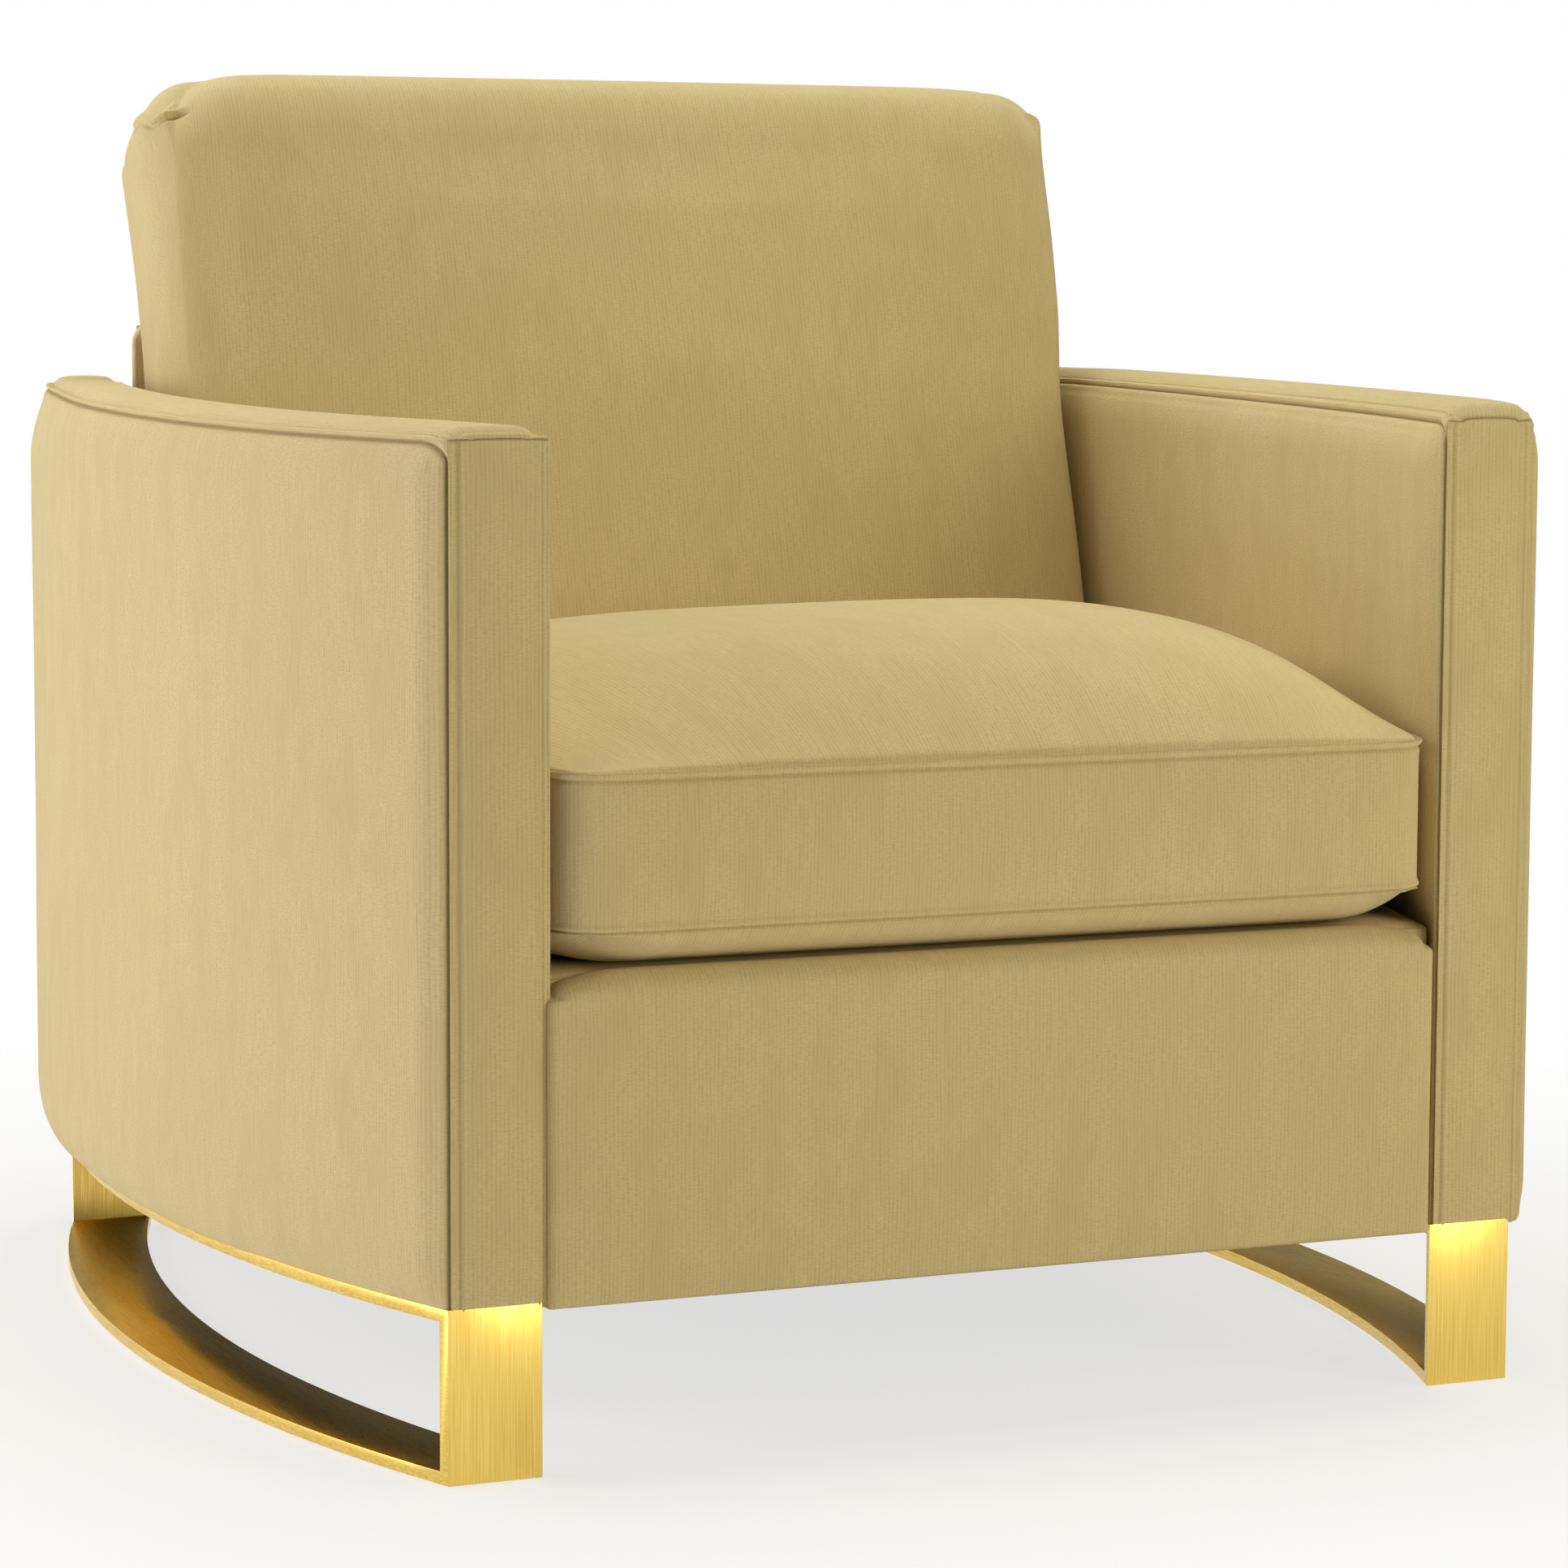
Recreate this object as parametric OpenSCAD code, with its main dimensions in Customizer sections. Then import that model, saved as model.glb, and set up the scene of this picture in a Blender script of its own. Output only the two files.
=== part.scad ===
// Bowed-arm lounge chair on two closed brass loops.
// X runs across the chair, Y from front to rear, Z up from the floor.
// Each arm is a slab swept along one circular arc. "d" is a distance inward from
// the arm's outer face, measured along that arc's radius.

/* [Overall] */
// Half width over the arms' outer faces at the front corners
arm_half_w = 372; // [350:1:400]
// Depth of the arms, front plane to rear plane
arm_depth = 896; // [840:1:940]
// How far each arm bows outward at mid depth
arm_bow = 72; // [50:1:85]
// Height of the arm tops
arm_top_z = 638; // [580:1:680]
// Height of the arms' underside
base_z = 104; // [90:1:120]
// Height of the seat deck under the cushion
deck_z = 306; // [290:1:330]
// Thickness of the upholstery fabric with its backing
cover_t = 2; // [1.5:0.1:3]
// Clearance between soft pieces that lift away from each other
soft_gap = 0.5; // [0.3:0.1:1]
// Clearance between pieces that are built against each other
joint_gap = 0.3; // [0.2:0.1:0.6]

/* [Arms] */
// Thickness of an arm, square to its bow
arm_t = 62; // [56:1:70]
// Radius of the arm's top edges
arm_corner_r = 18; // [14:1:22]
// How far the outer panel puffs out
outer_puff = 8; // [4:1:14]
// How far the inner panel puffs in, above the deck
inner_puff = 8; // [4:1:10]
// Foam on the arm's two faces
arm_foam = 10; // [8:1:14]
// Foam on the arm's top
arm_top_foam = 24; // [18:1:32]
// Foam on the arm's ends
arm_end_foam = 8; // [6:1:12]
// Plywood skin on each side of the arm frame
arm_skin_t = 4; // [3:0.5:6]
// Height of the arm's bottom rail
arm_bottom_rail_h = 40; // [30:1:50]
// Height of the arm's top rail
arm_top_rail_h = 22; // [18:1:30]
// Width of each arm post, front to rear
arm_post_w = 40; // [34:1:46]

/* [Brass loops] */
// Set-in of the loop's front outer corner from the arm's
loop_set_in = 4; // [0:0.5:12]
// Width of the flat bar
loop_w = 60; // [50:1:64]
// Thickness of the flat bar
loop_t = 8; // [6:0.5:10]
// Arm's length behind the loop's rear end
loop_rear_gap = 58; // [30:1:110]
// How much further the loop bows out than the arm
loop_bow_more = 2; // [0:0.5:4]
// How far the top bar is let into the arm's underside
loop_let_in = 4; // [2:0.5:6]
// Number of screws through each top bar
loop_screws_n = 4; // [3:1:5]

/* [Floor glides] */
// Radius of a nylon glide
glide_r = 9; // [7:0.5:12]
// How far a glide stands proud of the runner
glide_proud = 1; // [0.8:0.1:1.5]
// Radius of the glide's stem
glide_stem_r = 4; // [3:0.5:5]
// Length of the glide's stem
glide_stem_l = 5; // [3:0.5:5.5]

/* [Hardware] */
// Radius of the machine screws
screw_r = 4; // [3:0.5:5]
// Radius of a screw's button head
head_r = 7; // [6:0.5:9]
// Height of a screw's button head
head_h = 4.4; // [3:0.1:5]
// Radius of a washer
washer_r = 10; // [9:0.5:12]
// Thickness of a washer
washer_t = 1.6; // [1:0.1:2]
// Radius of a tee nut's flange
nut_flange_r = 10; // [9:0.5:12]
// Thickness of a tee nut's flange
nut_flange_t = 2; // [1.5:0.1:2.5]
// Outer radius of a tee nut's barrel
nut_barrel_r = 5.5; // [5.1:0.1:6.5]
// Length of a tee nut's barrel
nut_barrel_l = 12; // [8:1:16]

/* [Seat frame] */
// Thickness of the front rail
front_rail_t = 26; // [20:1:32]
// Thickness of the side rails
side_rail_t = 24; // [20:1:30]
// Thickness of the back rail
back_rail_t = 26; // [20:1:32]
// Height of the side and back rails
seat_rail_h = 132; // [110:1:140]
// Height of the rails' top above the floor
rail_top_z = 262; // [250:1:275]
// Arm's length behind the seat frame
seat_frame_gap = 130; // [120:1:150]
// Leg of a corner block
block_leg = 60; // [45:1:75]
// Height of a corner block
block_h = 90; // [60:1:110]
// Thickness of the dust cover
dust_t = 1; // [0.8:0.1:1.5]

/* [Seat springs] */
// Number of sinuous springs
springs_n = 5; // [3:1:5]
// Distance between two springs
spring_gap = 115; // [95:1:125]
// Width of a spring
spring_w = 54; // [46:1:60]
// Thickness of the spring wire
spring_wire = 4; // [3:0.2:4.4]
// Number of bends in a spring
spring_bends = 19; // [15:2:19]
// Thickness of a spring clip
clip_t = 1.2; // [1:0.1:1.5]
// Width of a spring clip
clip_w = 22; // [16:1:26]

/* [Front panel] */
// Space between the panel's side and the arm
panel_side_gap = 1; // [0.5:0.5:6]
// How far the front panel stands proud of the arms
front_panel_proud = 7; // [4:1:10]
// Radius of the front panel's top edge
front_panel_r = 14; // [10:1:18]

/* [Back] */
// Lean of the back, in degrees
back_lean = 13; // [10:0.5:16]
// Height of the back frame
back_top_z = 686; // [650:1:720]
// Radius of the back frame's top edges
back_corner_r = 16; // [12:1:20]
// How far the back's rear face is set in from the arms' rear
back_set_in = 2; // [1:0.5:6]
// Foam on the front of the back frame
back_foam = 24; // [18:1:30]
// Foam on the back frame's sides and top
back_side_foam = 10; // [8:1:14]
// Thickness of a plywood stile
stile_t = 18; // [15:1:22]
// Height of the back's underside above the floor
back_base_z = 112; // [110:1:125]
// Thickness of the hardboard behind the back
back_board_t = 4; // [3:0.5:5]
// Depth of the back's top rail
back_rail_w = 80; // [60:1:90]
// Thickness of the back's rails
back_rail_h = 20; // [16:1:24]
// Height of the lumbar rail
lumbar_rail_h = 50; // [40:1:60]
// Number of elastic straps
straps_n = 5; // [3:1:5]
// Width of an elastic strap
strap_w = 60; // [50:1:70]
// Thickness of an elastic strap
strap_t = 1.5; // [1:0.1:2]

/* [Seat cushion] */
// How far the seat cushion stands proud of the arms
seat_proud = 16; // [12:1:20]
// Height of the seat cushion's top front seam
seat_seam_z = 427; // [410:1:440]
// Height of the seat cushion's crown
seat_crown_z = 500; // [480:1:510]
// Clearance from the arms' puffed inner faces to the seat cushion
seat_side_gap = 4; // [2:0.5:8]

/* [Back cushion] */
// Arm's length behind the back cushion's front foot
back_depth = 375; // [365:1:385]
// Thickness of the back cushion
back_cushion_t = 158; // [140:1:170]
// Length of the back cushion along its lean
back_cushion_l = 582; // [560:1:590]
// Radius of the back cushion's top edges
back_cushion_r = 62; // [50:1:70]
// Clearance from the arms' puffed inner faces to the back cushion
back_side_gap = 9; // [4:0.5:12]

/* [Zips] */
// Length of a zip
zip_l = 500; // [420:1:540]
// Width of a zip's tape
zip_w = 32; // [26:1:36]
// Thickness of a zip's tape
zip_t = 1.2; // [1:0.1:1.5]
// Depth of the pocket that a zip lies in
zip_pocket = 7; // [6.5:0.1:8]
// Height of the seat cushion's zip above the deck
seat_zip_h = 66; // [50:1:80]
// Place of the back cushion's zip along its lean
back_zip_l = 90; // [70:1:130]

/* [Hidden] */

arc_fn = 360;
round_fn = 48;
far = 2000;

fabric = "#cbb684";
foam = "#efe6c8";
timber = "#d3ad78";
plywood = "#c9a56c";
brass = "#e2bd5c";
steel = "#9a9da1";
nylon = "#dedad0";
black_cloth = "#2b2b2d";
webbing = "#4a4a4c";

// The arm's arc, through both front corners and the bow
front_y = -arm_depth / 2;
rear_y = arm_depth / 2;
shift_y = seat_proud / 2;
arm_front_y = front_y + shift_y;
arm_rear_y = rear_y + shift_y;
arm_cy = shift_y;
arm_r = (arm_bow * arm_bow + arm_depth * arm_depth / 4) / (2 * arm_bow);
arm_cx = arm_half_w + arm_bow - arm_r;
sweep_over = 20;
sweep_in = 60;
arm_sweep = 2 * asin((arm_depth / 2 + sweep_over) / (arm_r - arm_t - sweep_in));

// The loop's arc
loop_top = base_z + loop_let_in;
loop_front_y = arm_front_y;
loop_half_w = arm_half_w - loop_set_in;
loop_len = arm_depth - loop_rear_gap;
loop_bow = arm_bow + loop_bow_more;
loop_cy = loop_front_y + loop_len / 2;
loop_r = (loop_bow * loop_bow + loop_len * loop_len / 4) / (2 * loop_bow);
loop_cx = loop_half_w + loop_bow - loop_r;
loop_hole_r = screw_r + 0.5;
screw_front = 95;
screw_rear = 53;
screw_pitch = (loop_len - screw_front - screw_rear) / (loop_screws_n - 1);
loop_screw_y = [for (i = [0 : loop_screws_n - 1]) loop_front_y + screw_front + i * screw_pitch];
glide_y = [for (t = [-0.46, -0.16, 0.16, 0.46]) loop_cy + t * loop_len];

// The layers of an arm, from its outer face inward
skin_d0 = cover_t + arm_foam;
rail_d0 = skin_d0 + arm_skin_t;
rail_d1 = arm_t - cover_t - arm_foam - arm_skin_t;
skin_d1 = rail_d1 + arm_skin_t;
rail_mid_d = (rail_d0 + rail_d1) / 2;
pad_e = cover_t + 0.2;
seam_z = arm_top_z - arm_corner_r;
zone_over = 40;
arm_core_top = arm_top_z - cover_t - arm_top_foam;
arm_core_y0 = arm_front_y + cover_t + arm_end_foam;
arm_core_y1 = arm_rear_y - cover_t - arm_end_foam;
arm_post_z0 = loop_top + arm_bottom_rail_h;
arm_post_z1 = arm_core_top - arm_top_rail_h;

// The seat box between the arms
box_d = arm_t + soft_gap;
side_rail_d1 = box_d + side_rail_t;
front_rail_set_in = 14;
front_rail_y0 = arm_front_y + front_rail_set_in;
front_rail_y1 = front_rail_y0 + front_rail_t;
back_rail_y1 = arm_rear_y - seat_frame_gap;
back_rail_y0 = back_rail_y1 - back_rail_t;
bolt_front = 160;
bolt_rear = 95;
bolt_post_y = [arm_front_y + bolt_front, back_rail_y0 - bolt_rear];
rail_bottom_z = rail_top_z - seat_rail_h;
bolt_low = 40;
bolt_high = 32;
bolt_z = [rail_bottom_z + bolt_low, rail_top_z - bolt_high];
block_z0 = rail_bottom_z + (seat_rail_h - block_h) / 2;
panel_front_y = arm_front_y - front_panel_proud;
front_panel_half_w = floor(arm_x(arm_front_y, arm_t)) - panel_side_gap;
wire_r = spring_wire / 2;
clip_bore = wire_r + 0.1;
spring_z = rail_top_z + clip_t + clip_bore;
spring_end = 14;
spring_pitch = floor((back_rail_y1 - front_rail_y0 - 2 * spring_end) / spring_bends);
spring_y0 = (front_rail_y0 + back_rail_y1 - spring_bends * spring_pitch) / 2;
spring_y1 = spring_y0 + spring_bends * spring_pitch;
spring_reach = (spring_w - spring_pitch) / 2 - wire_r;
spring_tail = clip_w - spring_reach + 2;
deck_pad_z0 = spring_z + clip_bore + clip_t + joint_gap;

// The back
cushion_y = arm_rear_y - back_depth;
cushion_rear_y = cushion_y + back_cushion_t / cos(back_lean);
back_front_y = cushion_rear_y + soft_gap;
back_rear_y = arm_rear_y - back_set_in;
back_d = arm_t + inner_puff + 1;
back_shoulder = back_corner_r * 0.6;
fit_gap = 0.1;
back_cavity_d = back_d + cover_t + back_side_foam;
stile_d = back_cavity_d + fit_gap;
back_cavity_top = back_top_z - cover_t - back_side_foam - 2;
back_cavity_e = (cover_t + back_foam) / cos(back_lean);
back_foot_z = deck_z;
board_y0 = back_rear_y - cover_t - back_board_t;

// The cushions
seat_d = arm_t + inner_puff + seat_side_gap;
seat_y0 = arm_front_y - seat_proud;
seat_y1 = cushion_y - 3;
cushion_z0 = deck_z + joint_gap;
back_cushion_d = arm_t + inner_puff + back_side_gap;
core_gap = 0.3;
crown_steps = 3;
zip_half = zip_l / 2;
slider_l = 14;
slider_h = 12;
slider_rest = zip_half - slider_l;

function arm_x(y, d) = arm_cx + sqrt(pow(arm_r - d, 2) - pow(y - arm_cy, 2));
function arm_angle(y, d) = asin((y - arm_cy) / (arm_r - d));
function back_line(z) = back_front_y + (z - deck_z) * tan(back_lean);

// ---- helpers ----

module side(s) mirror([s < 0 ? 1 : 0, 0, 0]) children();

// 2D x to Y and 2D y to Z, extruded along X
module extrude_x(x0, x1) translate([x0, 0, 0]) rotate([90, 0, 90]) linear_extrude(x1 - x0) children();

module rounded(x0, y0, x1, y1, r) {
  translate([x0 + r, y0]) square([x1 - x0 - 2 * r, y1 - y0]);
  translate([x0, y0 + r]) square([x1 - x0, y1 - y0 - 2 * r]);
  for (x = [x0 + r, x1 - r])
    for (y = [y0 + r, y1 - r])
      translate([x, y]) circle(r = r, $fn = round_fn);
}

// A profile of radius and height, swept along the right arm's arc from y0 to y1
module swept(y0, y1)
  intersection() {
    translate([arm_cx, arm_cy, 0]) rotate([0, 0, -arm_sweep / 2])
      rotate_extrude(angle = arm_sweep, $fn = arc_fn) children();
    translate([0, y0, -1]) cube([far, y1 - y0, far]);
  }

module arm_bar(d0, d1, z0, z1, y0, y1)
  swept(y0, y1) translate([arm_r - d1, z0]) square([d1 - d0, z1 - z0]);

// The space between the arms, d in from their outer faces
module between_arms(d, z0, z1)
  intersection() {
    translate([arm_cx, arm_cy, z0]) cylinder(r = arm_r - d, h = z1 - z0, $fn = arc_fn);
    translate([-arm_cx, arm_cy, z0]) cylinder(r = arm_r - d, h = z1 - z0, $fn = arc_fn);
  }

module slab(y0, y1, z0, z1) translate([-far / 2, y0, z0]) cube([far, y1 - y0, z1 - z0]);

// Places a piece on a radius of the arm's arc, its Z along the radius
module on_radius(y, d, z)
  translate([arm_cx, arm_cy, z]) rotate([0, 0, arm_angle(y, d)]) rotate([0, 90, 0]) children();

module loop_screw_places() for (y = loop_screw_y) translate([arm_x(y, rail_mid_d), y, 0]) children();

module arm_bolt_places() for (y = bolt_post_y) for (z = bolt_z) on_radius(y, rail_mid_d, z) children();

// ---- brass loops ----

module loop_plan(grow = 0)
  intersection() {
    translate([0, loop_front_y - grow]) square([far, loop_len + 2 * grow]);
    difference() {
      translate([loop_cx, loop_cy]) circle(r = loop_r + grow, $fn = arc_fn);
      translate([loop_cx - loop_w, loop_cy]) circle(r = loop_r - grow, $fn = arc_fn);
    }
  }

// Four lengths of flat bar, mitred and welded at the corners
module loop_side()
  difference() {
    translate([loop_front_y, glide_proud]) square([loop_len, loop_top - glide_proud]);
    translate([loop_front_y + loop_t, glide_proud + loop_t])
      square([loop_len - 2 * loop_t, loop_top - glide_proud - 2 * loop_t]);
  }

module brass_loop()
  difference() {
    intersection() {
      linear_extrude(loop_top) loop_plan();
      extrude_x(0, far) loop_side();
    }
    loop_screw_places() translate([0, 0, loop_top - loop_t - 1]) cylinder(r = loop_hole_r, h = loop_t + 2, $fn = 32);
    glide_places() cylinder(r = glide_stem_r + 0.1, h = glide_proud + glide_stem_l + 0.3, $fn = 32);
  }

// Cuts the arm's underside for the loop's top bar
module loop_seat() translate([0, 0, base_z - 1]) linear_extrude(loop_let_in + 1) loop_plan(joint_gap);

module glide_places()
  for (y = glide_y)
    translate([loop_cx - loop_w / 2 + sqrt(loop_r * loop_r - pow(y - loop_cy, 2)), y, 0]) children();

module left_brass_loop() color(brass) side(-1) brass_loop();
module right_brass_loop() color(brass) side(1) brass_loop();

module floor_glides()
  color(nylon) for (s = [-1, 1]) side(s) glide_places() {
    cylinder(r1 = glide_r - 0.5, r2 = glide_r, h = glide_proud, $fn = 32);
    cylinder(r = glide_stem_r, h = glide_proud + glide_stem_l, $fn = 32);
  }

module button_screw(l)
  difference() {
    union() {
      cylinder(r = screw_r, h = l, $fn = 32);
      translate([0, 0, -head_h]) cylinder(r1 = head_r - 1.5, r2 = head_r, h = head_h, $fn = 32);
    }
    translate([0, 0, -head_h - 1]) cylinder(r = 2.9, h = 3.5, $fn = 6);
  }

module loop_screws()
  color(steel) for (s = [-1, 1]) side(s) loop_screw_places()
    translate([0, 0, loop_top - loop_t]) button_screw(loop_t + arm_bottom_rail_h - 2);

// Flange at z = 0, barrel reaching down
module tee_nut()
  difference() {
    union() {
      cylinder(r = nut_flange_r, h = nut_flange_t, $fn = 32);
      translate([0, 0, -nut_barrel_l]) cylinder(r = nut_barrel_r, h = nut_barrel_l + 1, $fn = 32);
    }
    translate([0, 0, -nut_barrel_l - 1]) cylinder(r = screw_r + 0.05, h = nut_barrel_l + nut_flange_t + 2, $fn = 32);
  }

module tee_nuts()
  color(steel) for (s = [-1, 1]) side(s) {
    loop_screw_places() translate([0, 0, arm_post_z0]) tee_nut();
    arm_bolt_places() translate([0, 0, arm_r - rail_d0 - nut_flange_t - 0.2]) tee_nut();
  }

// ---- arm frames ----

module arm_bottom_rail()
  difference() {
    arm_bar(rail_d0, rail_d1, loop_top, arm_post_z0, arm_core_y0, arm_core_y1);
    loop_screw_places() translate([0, 0, loop_top - 1])
      cylinder(r = nut_barrel_r + 0.1, h = arm_bottom_rail_h + 2, $fn = 32);
  }

module arm_post(y0, y1) arm_bar(rail_d0, rail_d1, arm_post_z0, arm_post_z1, y0, y1);

module arm_bolt_posts()
  difference() {
    for (y = bolt_post_y) arm_post(y - arm_post_w / 2, y + arm_post_w / 2);
    arm_bolt_places() {
      translate([0, 0, arm_r - rail_d1 - 10]) cylinder(r = nut_barrel_r + 0.1, h = arm_t, $fn = 32);
      translate([0, 0, arm_r - rail_d0 - nut_flange_t - 0.2]) cylinder(r = nut_flange_r + 0.5, h = 10, $fn = 32);
    }
  }

module bolt_holes(r) arm_bolt_places() translate([0, 0, arm_r - side_rail_d1 - 10])
  cylinder(r = r, h = side_rail_d1 - rail_d0 + 5, $fn = 32);

module arm_skin(d0, d1) arm_bar(d0, d1, loop_top, arm_core_top, arm_core_y0, arm_core_y1);

module left_arm_bottom_rail() color(timber) side(-1) arm_bottom_rail();
module right_arm_bottom_rail() color(timber) side(1) arm_bottom_rail();

module arm_top_rail() arm_bar(rail_d0, rail_d1, arm_post_z1, arm_core_top, arm_core_y0, arm_core_y1);
module left_arm_top_rail() color(timber) side(-1) arm_top_rail();
module right_arm_top_rail() color(timber) side(1) arm_top_rail();

module arm_front_post() arm_post(arm_core_y0, arm_core_y0 + arm_post_w);
module left_arm_front_post() color(timber) side(-1) arm_front_post();
module right_arm_front_post() color(timber) side(1) arm_front_post();

module left_arm_bolt_posts() color(timber) side(-1) arm_bolt_posts();
module right_arm_bolt_posts() color(timber) side(1) arm_bolt_posts();

module arm_rear_post() arm_post(arm_core_y1 - arm_post_w, arm_core_y1);
module left_arm_rear_post() color(timber) side(-1) arm_rear_post();
module right_arm_rear_post() color(timber) side(1) arm_rear_post();

module left_arm_outer_skin() color(plywood) side(-1) arm_skin(skin_d0, rail_d0);
module right_arm_outer_skin() color(plywood) side(1) arm_skin(skin_d0, rail_d0);

module arm_inner_skin()
  difference() {
    arm_skin(rail_d1, skin_d1);
    bolt_holes(screw_r + 0.5);
  }
module left_arm_inner_skin() color(plywood) side(-1) arm_inner_skin();
module right_arm_inner_skin() color(plywood) side(1) arm_inner_skin();

// ---- arm upholstery ----

// A shallow arc standing out from a straight side of the section
module puff(r0, dir, rise, z0, z1) {
  half = (z1 - z0) / 2;
  radius = (rise * rise + half * half) / (2 * rise);
  intersection() {
    translate([r0 + dir * (rise - radius), z0 + half]) circle(r = radius, $fn = arc_fn);
    translate([dir > 0 ? r0 - 1 : r0 - rise, z0]) square([rise + 1, z1 - z0]);
  }
}

// The arm's section in radius and height, e inside its skin
module arm_section(e) {
  outer = arm_r - e;
  inner = arm_r - arm_t + e;
  translate([inner, base_z + e]) square([outer - inner, seam_z - base_z - e]);
  translate([arm_r - arm_t + arm_corner_r, base_z + e])
    square([arm_t - 2 * arm_corner_r, arm_top_z - base_z - 2 * e]);
  for (d = [arm_corner_r, arm_t - arm_corner_r])
    translate([arm_r - d, seam_z]) circle(r = arm_corner_r - e, $fn = round_fn);
  puff(outer, 1, outer_puff, base_z + e, seam_z);
  puff(inner, -1, inner_puff, deck_z, seam_z);
}

module arm_shell()
  difference() {
    arm_section(0);
    arm_section(cover_t);
  }

// The part of the shell on the outer face, up to the seam at half past the corner
module outer_zone()
  polygon([
    [arm_r - arm_corner_r, base_z - 1],
    [arm_r + zone_over, base_z - 1],
    [arm_r + zone_over, seam_z + zone_over + arm_corner_r],
    [arm_r - arm_corner_r, seam_z]
  ]);

module inner_zone()
  polygon([
    [arm_r - arm_t + arm_corner_r, base_z - 1],
    [arm_r - arm_t - zone_over, base_z - 1],
    [arm_r - arm_t - zone_over, seam_z + zone_over + arm_corner_r],
    [arm_r - arm_t + arm_corner_r, seam_z]
  ]);

module arm_padding()
  difference() {
    swept(arm_front_y + pad_e, arm_rear_y - pad_e) arm_section(pad_e);
    swept(arm_core_y0, arm_core_y1) translate([arm_r - skin_d1, 0]) square([skin_d1 - skin_d0, arm_core_top]);
    loop_seat();
    bolt_holes(screw_r + 0.5);
  }

module arm_outer_cover()
  difference() {
    swept(arm_front_y + cover_t, arm_rear_y - cover_t) intersection() {
      arm_shell();
      outer_zone();
    }
    loop_seat();
  }

module arm_inner_cover()
  difference() {
    swept(arm_front_y + cover_t, arm_rear_y - cover_t) intersection() {
      arm_shell();
      inner_zone();
    }
    loop_seat();
    bolt_holes(screw_r + 0.5);
  }

// Runs along the top and down the rear end
module arm_top_strip() {
  swept(arm_front_y + cover_t, arm_rear_y - cover_t) difference() {
    arm_shell();
    outer_zone();
    inner_zone();
    translate([0, base_z]) square([far, cover_t + 1]);
  }
  swept(arm_rear_y - cover_t, arm_rear_y) arm_section(0);
}

module arm_front_facing()
  difference() {
    swept(arm_front_y, arm_front_y + cover_t) arm_section(0);
    loop_seat();
  }

module left_arm_padding() color(foam) side(-1) arm_padding();
module right_arm_padding() color(foam) side(1) arm_padding();
module left_arm_outer_cover() color(fabric) side(-1) arm_outer_cover();
module right_arm_outer_cover() color(fabric) side(1) arm_outer_cover();
module left_arm_inner_cover() color(fabric) side(-1) arm_inner_cover();
module right_arm_inner_cover() color(fabric) side(1) arm_inner_cover();
module left_arm_top_strip() color(fabric) side(-1) arm_top_strip();
module right_arm_top_strip() color(fabric) side(1) arm_top_strip();
module left_arm_front_facing() color(fabric) side(-1) arm_front_facing();
module right_arm_front_facing() color(fabric) side(1) arm_front_facing();

module arm_bolts()
  color(steel) for (s = [-1, 1]) side(s) arm_bolt_places()
    translate([0, 0, arm_r - side_rail_d1 - washer_t - 0.1]) button_screw(side_rail_d1 - rail_d0 - 2);

module arm_bolt_washers()
  color(steel) for (s = [-1, 1]) side(s) arm_bolt_places()
    translate([0, 0, arm_r - side_rail_d1 - washer_t - 0.1]) difference() {
      cylinder(r = washer_r, h = washer_t, $fn = 32);
      translate([0, 0, -1]) cylinder(r = screw_r + 0.3, h = washer_t + 2, $fn = 32);
    }

// ---- seat box ----

module seat_front_rail()
  color(timber) intersection() {
    between_arms(box_d, loop_top, rail_top_z);
    slab(front_rail_y0, front_rail_y1, loop_top, rail_top_z);
  }

module seat_back_rail()
  color(timber) intersection() {
    between_arms(box_d, rail_bottom_z, rail_top_z);
    slab(back_rail_y0, back_rail_y1, rail_bottom_z, rail_top_z);
  }

module seat_side_rail()
  difference() {
    arm_bar(box_d, side_rail_d1, rail_bottom_z, rail_top_z, front_rail_y1, back_rail_y0);
    bolt_holes(screw_r + 0.5);
  }
module seat_left_rail() color(timber) side(-1) seat_side_rail();
module seat_right_rail() color(timber) side(1) seat_side_rail();

// Glued into a corner, its long side at 45 degrees
module corner_block(y, dir) {
  x = arm_x(y, side_rail_d1);
  intersection() {
    translate([0, 0, block_z0]) linear_extrude(block_h)
      polygon([[x + 30, y], [x - block_leg, y], [x + 30, y + dir * (block_leg + 30)]]);
    between_arms(side_rail_d1, block_z0, block_z0 + block_h);
  }
}

module seat_corner_blocks()
  color(timber) for (s = [-1, 1]) side(s) {
    corner_block(front_rail_y1, 1);
    corner_block(back_rail_y0, -1);
  }

// Straight bars joined by half-round bends on alternate sides; the end bars run on under their clips
module sinuous_spring()
  union() {
    for (i = [0 : spring_bends]) {
      start = i == 0 || i == spring_bends ? spring_tail : spring_reach;
      translate([-start, i * spring_pitch, 0]) rotate([0, 90, 0])
        cylinder(r = wire_r, h = start + spring_reach, $fn = 24);
    }
    for (i = [0 : spring_bends - 1]) {
      way = i % 2 == 0 ? 1 : -1;
      translate([way * spring_reach, (i + 0.5) * spring_pitch, 0]) rotate([0, 0, -90 * way])
        rotate_extrude(angle = 180, $fn = round_fn) translate([spring_pitch / 2, 0]) circle(r = wire_r, $fn = 24);
    }
  }

module spring_places() for (i = [0 : springs_n - 1]) translate([(i - (springs_n - 1) / 2) * spring_gap, 0, 0]) children();

module seat_springs() color(steel) spring_places() translate([0, spring_y0, spring_z]) sinuous_spring();

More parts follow.
